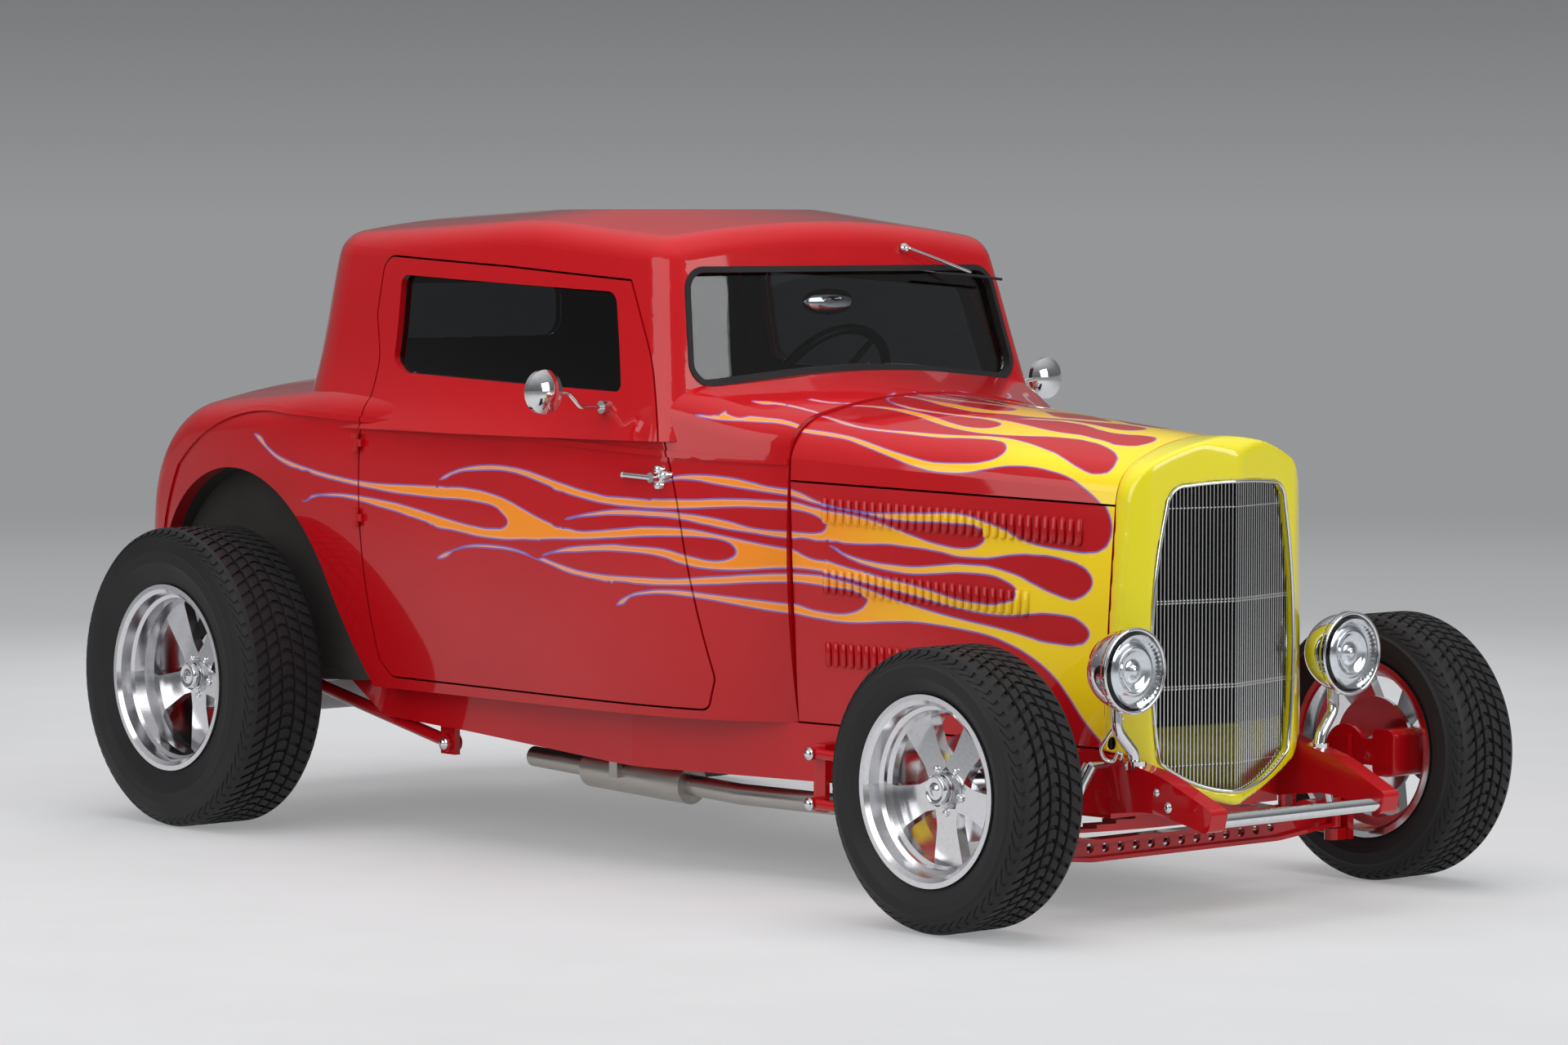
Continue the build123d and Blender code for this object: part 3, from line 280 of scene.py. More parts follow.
def flame_field(name, gaps):
    # Signed distance to the nearest red gap: below zero is red, above zero is flame.
    tree, inward, outward = grouped(name, (("Along", "Float"), ("Across", "Float")), (("Distance", "Float"),))
    along, side = inward.outputs[:2]
    nearest = None
    for gap in gaps:
        rows = [(x / 1000 + axle_middle, (a + b) / 2000, ((a - b) / 2000) ** 2) for x, a, b in gap]
        if gap[0][1] == gap[0][2]:
            # A round nose: ahead of it the squared half-width goes on falling below zero.
            (x0, c0, _), (x1, _, s1) = rows[0], rows[1]
            rows.insert(0, (x0 + nose_lead, c0, -s1 / (x0 - x1) * nose_lead))
        if gap[-1][0] not in runs_on:
            # A gap that has met its neighbour closes inside it.
            rows.append((rows[-1][0] - tail_run, rows[-1][1], shut_spread))
        rows.reverse()
        first, last = rows[0][0], rows[-1][0]
        length = last - first
        values = []
        for step in (0.0, gap_step):
            ahead = calc(tree, "ADD", along, step)
            share = put(tree, "MapRange", ahead, first, last, 0.0, 1.0).outputs[0]
            for column in (1, 2):
                numbers = [row[column] for row in rows]
                low, high = min(numbers) - curve_margin, max(numbers) + curve_margin
                points = [((row[0] - first) / length, row[column]) for row in rows]
                values.append(curve_of(tree, share, points, low, high))
        distance = use_group(tree, gap_tree, side, *values)[0]
        nearest = distance if nearest is None else calc(tree, "MINIMUM", nearest, distance)
    tree.links.new(nearest, outward.inputs[0])
    return tree


# Past these heights no panel is left to paint. A gap whose last station is listed here stays open there.
sky, ground = 1100, 200
runs_on = (-1400, 280, 440)


def open_above(*edges):
    return [(x, low, sky) for x, low in edges]


def open_below(*edges):
    return [(x, ground, high) for x, high in edges]


side_gaps = (
    # Stations: millimetres ahead of the middle of the wheelbase, then the gap's two edges in height.
    ((1400, 853, 853), (1393, 824, 883), (1380, 812, 905), (1345, 803, 935), (1300, 804, 950),
     (1200, 815, 955), (1115, 847, 960), (1060, 862, 965), (1000, 875, 970), (900, 873, 985),
     (700, 872, 1040), (600, 888, 1070), *open_above((510, 915), (450, 930), (400, 941), (340, 945),
     (300, 943), (260, 933), (225, 920), (215, 888), (100, 887), (50, 893), (0, 900), (-50, 910),
     (-100, 920), (-150, 931), (-200, 940), (-250, 945), (-300, 947), (-350, 945), (-400, 939), (-450, 928),
     (-505, 905), (-520, 889), (-600, 888), (-700, 887), (-800, 890), (-900, 899), (-1000, 912),
     (-1100, 930), (-1150, 943), (-1200, 965), (-1260, 993), (-1275, 980), (-1400, 960))),
    ((1062, 827, 827), (1055, 812, 842), (1030, 801, 850), (1000, 798, 852), (933, 805, 853),
     (867, 820, 852), (800, 841, 855), (733, 857, 865), (687, 864, 871), (600, 873, 881), (510, 887, 900),
     (400, 891, 920), (300, 887, 933), (225, 886, 920), (210, 884, 960), (100, 887, 980)),
    ((617, 833, 833), (611, 823, 843), (600, 818, 850), (567, 815, 861), (513, 817, 868), (467, 822, 871),
     (400, 841, 871), (350, 850, 868), (300, 855, 865), (250, 858, 863), (200, 859, 863), (150, 859, 865),
     (100, 856, 868), (50, 849, 873), (0, 840, 881), (-50, 828, 890), (-65, 808, 893), (-100, 816, 903),
     (-150, 830, 915), (-200, 847, 926), (-250, 864, 933), (-300, 876, 935), (-350, 884, 933),
     (-400, 888, 930), (-450, 889, 921), (-505, 889, 905), (-520, 889, 940)),
    ((1357, 737, 737), (1347, 717, 757), (1320, 701, 773), (1293, 699, 781), (1260, 707, 787),
     (1200, 727, 790), (1133, 750, 787), (1067, 762, 777), (1000, 763, 777), (933, 757, 787),
     (867, 751, 793), (800, 753, 797), (733, 759, 795), (667, 773, 795), (625, 788, 797), (613, 753, 798),
     (513, 778, 801), (450, 793, 813), (400, 805, 821), (350, 815, 831), (300, 820, 840), (250, 821, 844),
     (200, 820, 845), (150, 815, 845), (100, 810, 844), (50, 805, 840), (0, 802, 835), (-50, 807, 828),
     (-65, 811, 850), (-100, 817, 860)),
    ((1157, 702, 702), (1150, 691, 714), (1127, 683, 727), (1067, 677, 741), (1000, 683, 742),
     (933, 697, 737), (867, 710, 733), (800, 720, 737), (733, 732, 747), (700, 737, 755), (667, 743, 767),
     (625, 752, 788), (600, 758, 795), (513, 778, 795)),
    ((422, 769, 769), (413, 755, 786), (393, 748, 795), (367, 747, 799), (333, 753, 801), (300, 760, 801),
     (267, 768, 800), (233, 772, 799), (200, 773, 797), (150, 774, 793), (100, 775, 789), (50, 771, 785),
     (0, 767, 782), (-50, 760, 780), (-100, 748, 778), (-135, 738, 776), (-150, 728, 774), (-200, 743, 773),
     (-300, 754, 770), (-350, 754, 772), (-400, 750, 777), (-450, 738, 783), (-523, 712, 790),
     (-540, 600, 795), (-600, 550, 808), (-700, 500, 825), (-800, 500, 840), (-900, 500, 848),
     (-950, 500, 848), (-1000, 500, 841), (-1040, 500, 831), (-1050, 500, 870), (-1065, 500, 890),
     (-1100, 500, 900), (-1150, 500, 905), (-1260, 500, 930), (-1400, 500, 950)),
    ((-255, 813, 813), (-260, 804, 823), (-270, 799, 830), (-300, 795, 847), (-350, 795, 855),
     (-400, 800, 859), (-500, 815, 860), (-600, 832, 863), (-700, 845, 868), (-800, 853, 877),
     (-900, 856, 888), (-950, 853, 894), (-1000, 847, 902), (-1040, 831, 908), (-1055, 835, 911),
     (-1100, 850, 918), (-1150, 862, 933), (-1200, 880, 957), (-1260, 905, 993), (-1280, 915, 1020),
     (-1400, 915, 1050)),
    ((1355, 623, 623), (1347, 608, 637), (1327, 600, 650), (1287, 597, 660), (1240, 600, 662),
     (1200, 607, 659), (1133, 620, 652), (1067, 630, 653), (1000, 639, 661), (933, 650, 673),
     (867, 663, 685), (800, 679, 696), (733, 697, 706), (687, 707, 714), (633, 716, 721), (600, 719, 727),
     (513, 720, 731), (450, 717, 727), (400, 712, 725), (350, 708, 728), (300, 703, 737), (250, 701, 751),
     (200, 701, 757), (100, 701, 759), (50, 703, 757), (0, 707, 753), (-50, 715, 750), (-100, 725, 745),
     (-135, 733, 738), (-150, 736, 760), (-200, 747, 768), (-250, 755, 768), (-300, 758, 768),
     (-350, 758, 768), (-400, 755, 768), (-450, 743, 768)),
    ((733, 668, 668), (728, 659, 676), (720, 651, 680), (693, 639, 688), (660, 633, 691), (600, 635, 695),
     (513, 650, 699), (450, 659, 697), (400, 665, 693), (350, 670, 690), (300, 675, 687), (250, 675, 685),
     (200, 670, 685), (150, 658, 687), (105, 632, 688), (90, 560, 688), (0, 500, 695), (-50, 500, 702),
     (-100, 500, 715), (-150, 500, 727), (-200, 500, 738), (-250, 500, 745), (-300, 500, 747),
     (-350, 500, 747), (-400, 500, 745), (-450, 500, 737), (-523, 500, 712), (-540, 500, 780)),
    open_below((1400, 385), (1353, 427), (1300, 487), (1267, 520), (1200, 563), (1133, 590), (1067, 607),
     (1000, 615), (933, 621), (867, 624), (800, 621), (667, 613), (600, 617), (513, 627), (450, 639),
     (400, 649), (350, 657), (300, 662), (250, 665), (200, 662), (150, 653), (105, 632), (90, 640),
     (0, 640), (-500, 650), (-700, 660), (-1400, 660)),
)
crown_gaps = (
    # The same over the hood and cowl top: the edges count outwards and down from the centre line.
    (*open_above((1372, 428), (1367, 423), (1317, 397), (1277, 383), (1237, 378), (1183, 380), (1117, 397),
     (1050, 433), (1000, 460), (950, 477), (900, 487), (850, 488), (797, 483), (743, 477), (701, 472),
     (650, 467), (600, 472), (550, 480), (510, 487), (483, 500), (450, 527), (417, 553), (383, 577),
     (350, 593), (317, 600), (300, 450)), (280, ground, sky)),
    ((1073, 357, 357), (1063, 330, 386), (1043, 313, 405), (1023, 310, 418), (983, 318, 434),
     (930, 339, 451), (883, 360, 460), (830, 373, 461), (783, 383, 460), (730, 395, 456), (701, 401, 453),
     (650, 407, 451), (600, 407, 455), (550, 397, 463), (517, 392, 469), (483, 397, 480), (450, 407, 503),
     (423, 423, 523), (383, 453, 553), (365, 300, 570), (350, 300, 582), (317, 300, 600), (300, 300, 700)),
    ((1367, 307, 307), (1357, 268, 333), (1343, 250, 342), (1317, 230, 347), (1277, 213, 337),
     (1230, 205, 318), (1183, 207, 301), (1130, 220, 289), (1083, 240, 282), (1037, 260, 281),
     (983, 279, 293), (930, 290, 317), (883, 291, 337), (837, 287, 352), (783, 275, 367), (730, 260, 383),
     (683, 252, 393), (643, 247, 397), (603, 248, 393), (563, 255, 387), (530, 267, 384), (510, 280, 383),
     (483, 313, 385), (450, 330, 393), (403, 340, 420), (377, 341, 453), (343, 327, 470), (325, 200, 500)),
    ((953, 219, 219), (943, 197, 243), (917, 188, 257), (883, 187, 262), (837, 195, 257), (797, 201, 247),
     (743, 208, 233), (703, 213, 227), (663, 214, 224), (623, 205, 227), (583, 192, 233), (543, 170, 247),
     (517, 147, 263), (500, 100, 283), (483, 100, 300), (450, 100, 317), (410, 100, 330), (343, 100, 323),
     (325, 100, 400)),
    ((1367, 133, 133), (1360, 110, 158), (1337, 95, 182), (1310, 97, 189), (1277, 110, 185),
     (1237, 117, 178), (1197, 113, 173), (1150, 100, 176), (1103, 90, 180), (1057, 92, 178),
     (1017, 103, 173), (977, 120, 168), (943, 140, 165), (930, 150, 164), (915, 112, 165), (857, 123, 173),
     (817, 137, 181), (777, 139, 190), (730, 134, 195), (677, 127, 197), (630, 112, 193), (583, 103, 185),
     (550, 100, 173), (523, 97, 147), (500, 60, 100), (480, 30, 140), (450, 30, 140)),
    ((1263, 40, 40), (1257, 27, 58), (1237, 16, 75), (1217, 12, 79), (1177, 13, 77), (1137, 27, 72),
     (1097, 43, 70), (1050, 58, 73), (1017, 72, 87), (970, 92, 108), (943, 100, 140), (930, 103, 155),
     (883, 110, 165), (857, 122, 172)),
    ((857, 60, 60), (850, 42, 76), (837, 33, 87), (800, 25, 96), (743, 30, 97), (703, 40, 93), (650, 50, 92),
     (600, 53, 91), (550, 50, 88), (510, 45, 85), (490, 20, 90), (450, 20, 90)),
    ((1120, 0, 0), (1097, -13, 13), (1050, -33, 33), (1003, -48, 48), (957, -33, 33), (917, -8, 8),
     (905, -1, 1), (880, 0, 0)),
    ((800, 0, 0), (780, -4, 4), (750, -10, 10), (700, -22, 22), (650, -33, 33), (600, -40, 40),
     (550, -40, 40), (510, -38, 38), (480, -60, 60), (440, -400, 400)),
)
side_field = flame_field("side_flames", side_gaps)
crown_field = flame_field("crown_flames", crown_gaps)

enamel_red, deep_red = (0.50, 0.004, 0.008), (0.42, 0.002, 0.006)
flame_yellow, flame_orange = (0.93, 0.66, 0.010), (0.90, 0.27, 0.012)
stripe_violet, edge_blush = (0.20, 0.13, 0.42), (0.80, 0.36, 0.28)
cloth_dark, cloth_light = (0.10, 0.065, 0.04), (0.16, 0.105, 0.065)
spray_size, spray_strength, spray_depth = 420.0, 0.012, 0.002
# The crown line of the hood, from the cowl to the shell, and the heights and place where the fire changes.
crown_rear, crown_front = (0.517 + axle_middle, 1.125), (1.405 + axle_middle, 1.054)
side_fire_top, crown_seam, crown_fire_end = 1.04, 0.955, 0.28 + axle_middle
orange_until, yellow_from, fade_wander = 0.62, 1.46, 0.12
blush_start, blush_end, blush_share = 0.0015, 0.0075, 0.75
stripe_solid, stripe_edge, fire_edge = 0.0013, 0.0024, 0.0006
cab_sill, cab_ceiling = 0.42, 1.25


def rippled(tree, size):
    # The ripple group at one grain size: its fine height and its broad shade.
    return use_group(tree, ripple_tree, place_of(tree), size)[:2]


def tinted_between(tree, shader, share, first, second):
    tree.links.new(mix(tree, share, (*first, 1), (*second, 1)), shader.inputs["Base Color"])


def bumped(tree, shader, height, strength, distance):
    bump = put(tree, "Bump", sockets={"Strength": strength, "Distance": distance, "Height": height})
    tree.links.new(bump.outputs[0], shader.inputs["Normal"])


def surface_of(tree):
    # The place in three, how far the face looks up, and how far it looks away from the car's middle.
    x, y, z = split(tree, place_of(tree))[:3]
    facing = split(tree, put(tree, "TexCoord").outputs["Normal"])
    return x, y, z, facing[2], calc(tree, "MULTIPLY", facing[1], calc(tree, "SIGN", y))


def fire_over(tree, colour, shade, flames, any_way):
    # Flames and their stripe over a colour, on the "sides", the "crown" or "both", on outer faces only.
    x, y, z, upward, outward = surface_of(tree)
    if flames != "crown":
        sides = calc(tree, "SUBTRACT", side_fire_top, z)
        distance = sides = calc(tree, "MINIMUM", use_group(tree, side_field, x, z)[0], sides)
        outer = calc(tree, "ADD", outward, calc(tree, "MAXIMUM", upward, 0.0))
        open_air = calc(tree, "GREATER_THAN", outer, -2.0 if any_way else 0.12)
    if flames != "sides":
        (rear_x, rear_z), (front_x, front_z) = crown_rear, crown_front
        crown_z = put(tree, "MapRange", x, rear_x, front_x, rear_z, front_z).outputs[0]
        around = calc(tree, "ADD", calc(tree, "ABSOLUTE", y), calc(tree, "SUBTRACT", crown_z, z))
        distance = crown = use_group(tree, crown_field, x, around)[0]
    if flames == "crown":
        open_air = calc(tree, "MULTIPLY", calc(tree, "GREATER_THAN", upward, -0.3),
                        calc(tree, "GREATER_THAN", x, crown_fire_end))
    if flames == "both":
        above = calc(tree, "GREATER_THAN", z, crown_seam)
        sides = calc(tree, "MULTIPLY", calc(tree, "SUBTRACT", 1.0, above), sides)
        distance = calc(tree, "ADD", calc(tree, "MULTIPLY", above, crown), sides)
    inside = calc(tree, "MULTIPLY", ramp(tree, distance, -fire_edge, fire_edge), open_air)
    forward = ramp(tree, calc(tree, "MULTIPLY_ADD", shade, fade_wander, x), orange_until, yellow_from)
    fire = mix(tree, forward, (*flame_orange, 1), (*flame_yellow, 1))
    blush = ramp(tree, distance, blush_start, blush_end, blush_share, 0.0)
    colour = mix(tree, inside, colour, mix(tree, blush, fire, (*edge_blush, 1)))
    line = ramp(tree, calc(tree, "ABSOLUTE", distance), stripe_solid, stripe_edge, 1.0, 0.0)
    return mix(tree, calc(tree, "MULTIPLY", line, open_air), colour, (*stripe_violet, 1))


def cloth_inside(tree, shader, colour, height):
    # Trim cloth on the faces that look into the cab, above the sill and under the roof.
    z, upward, outward = surface_of(tree)[2:]
    inward = calc(tree, "LESS_THAN", outward, -0.35)
    under_roof = calc(tree, "MULTIPLY", calc(tree, "LESS_THAN", upward, -0.5),
                      calc(tree, "GREATER_THAN", z, cab_ceiling))
    cloth = calc(tree, "MULTIPLY", calc(tree, "MAXIMUM", inward, under_roof),
                 calc(tree, "GREATER_THAN", z, cab_sill))
    tree.links.new(calc(tree, "MULTIPLY_ADD", cloth, 0.5, 0.32), shader.inputs["Roughness"])
    tree.links.new(calc(tree, "SUBTRACT", 1.0, cloth), shader.inputs["Coat Weight"])
    return mix(tree, cloth, colour, mix(tree, height, (*cloth_dark, 1), (*cloth_light, 1)))


def enamel(name, flames=None, lined=False, any_way=False):
    material, tree, shader = finish_named(
        name, enamel_red, 0.32, Coat_Weight=1.0, Coat_Roughness=0.035, Coat_IOR=1.4, Specular_IOR_Level=0.1
    )
    height, shade = rippled(tree, spray_size)
    colour = mix(tree, shade, (*deep_red, 1), (*enamel_red, 1))
    if flames:
        colour = fire_over(tree, colour, shade, flames, any_way)
    if lined:
        colour = cloth_inside(tree, shader, colour, height)
    tree.links.new(colour, shader.inputs["Base Color"])
    bumped(tree, shader, height, spray_strength, spray_depth)
    return material


# Plain red pieces take the same enamel without the fire: roof, deck lid, frame, dash and axle.
# Each carried-over solid keeps its mesh and only gets its finish here.


def dress(material, *names):
    for name in names:
        mesh = nodes[name].data
        mesh.materials.clear()
        mesh.materials.append(material)


dress(enamel("lined_red", lined=True), "roof_panel")
dress(enamel("red_enamel"), "deck_lid", "frame_rails", "crossmembers", "dashboard", "front_axle",
      "front_spring", "suspension_links", "rear_axle", "knuckle_left", "knuckle_right")
dress(enamel("flamed_hood_sides", "sides"), "hood_sides")
dress(enamel("flamed_sides", "sides", lined=True), "door_left", "door_right", "rear_body")
dress(enamel("flamed_cowl", "both", lined=True), "cowl")
dress(enamel("flamed_crown", "crown"), "hood_top")

# The radiator shell is a steel pressing in lemon yellow that fades to orange where it meets the hood.
# A yellow apron fills in behind the lowest grille bars, and a chromed bead rings the opening.

shell_lemon, shell_tint, shell_trim_radius = (0.82, 0.72, 0.006), (0.90, 0.42, 0.008), 0.004
tint_from, tint_until, tint_share = 1.565, 1.525, 0.55
shell_voxel, shell_smoothing = 0.0045, 24
yellow, tree, shader = finish_named(
    "yellow_enamel", shell_lemon, 0.3, Coat_Weight=1.0, Coat_Roughness=0.03, Specular_IOR_Level=0.4
)
height, shade = rippled(tree, spray_size)
back_edge = calc(tree, "MULTIPLY_ADD", shade, 0.02, split(tree, place_of(tree))[0])
seam_share = ramp(tree, back_edge, tint_until, tint_from, tint_share, 0.0)
tinted_between(tree, shader, seam_share, shell_lemon, shell_tint)
bumped(tree, shader, height, spray_strength, spray_depth)
dress(yellow, "radiator_shell")
bm = bmesh.new()
bm.from_mesh(nodes["radiator_shell"].data)
bmesh.ops.remove_doubles(bm, verts=bm.verts, dist=1e-5)
pressed_shell = settled("rounded_radiator_shell", bm, yellow)
remesh = pressed_shell.modifiers.new("remesh", "REMESH")
remesh.mode, remesh.voxel_size = "VOXEL", shell_voxel
relax = pressed_shell.modifiers.new("relax", "SMOOTH")
relax.factor, relax.iterations = 0.5, shell_smoothing
finished = pressed_shell.evaluated_get(bpy.context.evaluated_depsgraph_get())
shell_mesh = bpy.data.meshes.new_from_object(finished)
pressed_shell.modifiers.clear()
pressed_shell.data = shell_mesh
for face in shell_mesh.polygons:
    face.use_smooth = True
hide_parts("radiator_shell")


def metal(name, colour, roughness, spread, grain=90.0, stretch=(1.0, 1.0, 1.0), depth=0.01):
    # Bare or plated metal: polish haze in broad patches and fine tool marks.
    material, tree, shader = finish_named(name, colour, roughness, 1.0)
    place = put(tree, "Mapping", place_of(tree), sockets={"Scale": stretch}).outputs[0]
    height, shade = use_group(tree, ripple_tree, place, grain)[:2]
    haze = put(tree, "MapRange", shade, 0.3, 0.7, roughness, roughness + spread).outputs[0]
    tree.links.new(haze, shader.inputs["Roughness"])
    tinted_between(tree, shader, height, [0.82 * part for part in colour], colour)
    bumped(tree, shader, height, 0.15, depth * 0.01)
    return material


chrome = metal("chrome_plate", (0.83, 0.84, 0.86), 0.035, 0.05)
dress(chrome, "front_spreader_bar", "tie_rod", "headlights", "door_trim_left", "door_trim_right",
      "shock_absorbers")
dress(metal("grille_steel", (0.74, 0.74, 0.74), 0.12, 0.10), "grille_insert")
dress(metal("radiator_black", (0.035, 0.035, 0.04), 0.5, 0.2, 900.0), "radiator_core")


def arc(first, middle, last, steps=10):
    # Points along the circle through three points of a flat outline, the last one left out.
    (ax, ay), (bx, by), (cx, cy) = first, middle, last
    a, b, c = ax * ax + ay * ay, bx * bx + by * by, cx * cx + cy * cy
    d = 2 * (ax * (by - cy) + bx * (cy - ay) + cx * (ay - by))
    ux = (a * (by - cy) + b * (cy - ay) + c * (ay - by)) / d
    uy = (a * (cx - bx) + b * (ax - cx) + c * (bx - ax)) / d
    begin, radius = math.atan2(ay - uy, ax - ux), math.hypot(ax - ux, ay - uy)
    through, end = math.atan2(by - uy, bx - ux), math.atan2(cy - uy, cx - ux)
    turn = (end - begin) % math.tau
    if (through - begin) % math.tau > turn:
        turn -= math.tau
    angles = [begin + turn * k / steps for k in range(steps)]
    return [(ux + radius * math.cos(angle), uy + radius * math.sin(angle)) for angle in angles]


def bar_along(name, points, radius, material, closed=False, kind="BEZIER"):
    # A round bar or bead along a route, made a mesh at the origin.
    route = bpy.data.curves.new(name, "CURVE")
    route.dimensions = "3D"
    route.bevel_depth, route.bevel_resolution, route.use_fill_caps = radius, 4, not closed
    spline = route.splines.new(kind)
    if kind == "BEZIER":
        spline.bezier_points.add(len(points) - 1)
        for knot, point in zip(spline.bezier_points, points):
            knot.co = point
            knot.handle_left_type = knot.handle_right_type = "AUTO"
    else:
        spline.points.add(len(points) - 1)
        for knot, point in zip(spline.points, points):
            knot.co = (*point, 1)
    spline.use_cyclic_u = closed
    holder = bpy.data.objects.new(name + "_route", route)
    scene.collection.objects.link(holder)
    bm = bmesh.new()
    bm.from_mesh(bpy.data.meshes.new_from_object(holder))
    bpy.data.objects.remove(holder)
    bmesh.ops.remove_doubles(bm, verts=bm.verts, dist=1e-6)
    bmesh.ops.recalc_face_normals(bm, faces=bm.faces)
    return settled(name, bm, material)


shell_nose_x, nose_flat, nose_slope = 1.526 + axle_middle, 0.012, 43 / 202
trim_sink, apron_sink, apron_top, apron_lean = 0.0035, 0.035, 0.415, 0.012


def shell_nose_at(y):
    # How far ahead the shell's shallow V stands, metres.
    return shell_nose_x - max(abs(y) - nose_flat, 0) * nose_slope


opening_half = (arc((0, 268), (112, 291), (204, 344)) + arc((204, 344), (224, 520), (187, 905), 16)
                + arc((187, 905), (172, 938), (136, 950), 6) + arc((136, 950), (70, 955), (0, 957), 6))
opening = opening_half + [(0, 957)] + [(-y, z) for y, z in reversed(opening_half[1:])]
trim_line = [(shell_nose_at(y / 1000) - trim_sink, y / 1000, z / 1000) for y, z in opening]
bar_along("grille_opening_trim", trim_line, shell_trim_radius, chrome, True, "POLY")

apron = bmesh.new()
low_edge = [apron.verts.new((shell_nose_at(y / 1000) - apron_sink, y / 1000, z / 1000))
            for y, z in opening if z < 400]
low_edge.sort(key=lambda vert: vert.co.y)
bottom = [apron.edges.new(pair) for pair in zip(low_edge, low_edge[1:])]
raised = bmesh.ops.extrude_edge_only(apron, edges=bottom)["geom"]
for vert in (item for item in raised if isinstance(item, bmesh.types.BMVert)):
    vert.co.z = apron_top
    vert.co.x -= apron_lean
bmesh.ops.recalc_face_normals(apron, faces=apron.faces)
bmesh.ops.solidify(apron, geom=apron.faces, thickness=0.002)
bmesh.ops.recalc_face_normals(apron, faces=apron.faces)
settled("grille_apron", apron, yellow)

# Louvres are pressed out of each hood side in three rows: round-ended swellings whose mouths look back.
# Dome-headed bolts with plated heads hold the links, the spreader bar and the brackets of the frame.


def turned(bm, points, centre, axis="Y", steps=32, side=1):
    # Spins an outline of (distance along, radius), in mm, about an axis through the centre.
    frames = {"X": ((1, 0, 0), (0, 0, 1)), "Y": ((0, 1, 0), (0, 0, 1)), "Z": ((0, 0, 1), (1, 0, 0))}
    run, out = (Vector(v) for v in frames[axis])
    centre = Vector(centre)
    ring = [bm.verts.new(centre + (run * along * side + out * radius) / 1000) for along, radius in points]
    edges = [bm.edges.new(pair) for pair in zip(ring, ring[1:])]
    bmesh.ops.spin(bm, geom=ring + edges, cent=centre, axis=run, angle=math.tau, steps=steps, use_merge=True)
    bmesh.ops.remove_doubles(bm, verts=bm.verts, dist=1e-6)
    bmesh.ops.recalc_face_normals(bm, faces=bm.faces)


louvre_rows = (
    # first x, count, middle height at the hood's front and rear, height of each (mm, as in the source)
    (613, 32, 843, 872, 62),
    (613, 26, 672, 710, 60),
    (613, 18, 530, 538, 60),
)
louvre_pitch, hood_rear, hood_front = 22.6, 517.0, 1404.7
louvre_reach, louvre_swell, louvre_end, mouth_step, skin_bow = 0.0135, 0.0078, 0.009, 0.0006, 0.8
hood_side_lines = (
    # height, distance from the middle at the hood's rear and at its front (mm)
    (376, 413, 302),
    (745, 434, 284),
    (920, 439, 269),
)


def hood_side_y(x, z):
    # Where the hood side's face stands at a place, mm out from the middle.
    share = (x - hood_rear) / (hood_front - hood_rear)
    lines = [(level, back + (nose - back) * share) for level, back, nose in hood_side_lines]
    (z0, y0), (z1, y1), (z2, y2) = lines
    if z > z1:
        return y1 + (y2 - y1) * (z - z1) / (z2 - z1)
    return y0 + (y1 - y0) * (z - z0) / (z1 - z0)


louvres = bmesh.new()
for first_x, count, z_front, z_rear, height in louvre_rows:
    straight = height / 2000 - louvre_end
    for k in range(count):
        x = first_x + k * louvre_pitch
        z = z_rear + (z_front - z_rear) * (x - hood_rear) / (hood_front - hood_rear)
        for side in (1, -1):
            # A stretched ball, cut flat where the louvre's mouth looks back, and laid along the panel.
            ball = bmesh.ops.create_uvsphere(louvres, u_segments=12, v_segments=10, radius=1.0)["verts"]
            for vert in ball:
                ahead, out, up = vert.co
                stretch = 0.0 if abs(up) < 1e-4 else math.copysign(straight, up)
                level = z / 1000 + up * louvre_end + stretch
                skin = (hood_side_y(x, level * 1000) + skin_bow) / 1000
                vert.co = (x / 1000 + axle_middle + max(ahead, 0.0) * louvre_reach - mouth_step,
                           side * (skin + out * louvre_swell), level)
bmesh.ops.recalc_face_normals(louvres, faces=louvres.faces)
settled("louvre_lips", louvres, enamel("flamed_lips", "sides", any_way=True))

bolt_outline = ((0.0, 0.0), (0.0, 1.0), (0.18, 1.0), (0.2, 0.78), (0.42, 0.74), (0.66, 0.5), (0.76, 0.0))
bolt_table = (
    # head radius (mm), place on the right side, axis it points along; each is mirrored to the left
    (12, (1.724, -0.3045, 0.262), "Y"),
    (9, (1.690, -0.3060, 0.292), "Y"),
    (15, (0.734, -0.4705, 0.312), "Y"),
    (15, (0.734, -0.4705, 0.196), "Y"),
    (11, (1.418, -0.4125, 0.282), "Y"),
    (11, (1.418, -0.4125, 0.168), "Y"),
    (16, (-0.584, -0.5205, 0.236), "Y"),
    (10, (1.514, -0.448, 0.187), "Z"),
)
bolts = bmesh.new()
for radius, (x, y, z), axis in bolt_table:
    for side in (1, -1):
        facing = -side if axis == "Y" else 1
        turned(bolts, [(a * radius, r * radius) for a, r in bolt_outline], (x, y * side, z), axis, 18, facing)
settled("dome_bolts_chassis", bolts, chrome)

# Tyres: black rubber rings with four straight grooves and rows of slanted cuts across the ribs.
# Each is spun from its section; the cuts are pressed in afterwards. They stand in for the plain rings.

rubber, tree, shader = finish_named("tyre_rubber", (0.012, 0.012, 0.013), 0.55, 0.0, Specular_IOR_Level=0.35)
height, shade = rippled(tree, 260.0)
tinted_between(tree, shader, shade, (0.007, 0.007, 0.008), (0.017, 0.017, 0.018))
tree.links.new(ramp(tree, shade, 0.3, 0.7, 0.52, 0.74), shader.inputs["Roughness"])
bumped(tree, shader, height, 0.25, 0.0006)

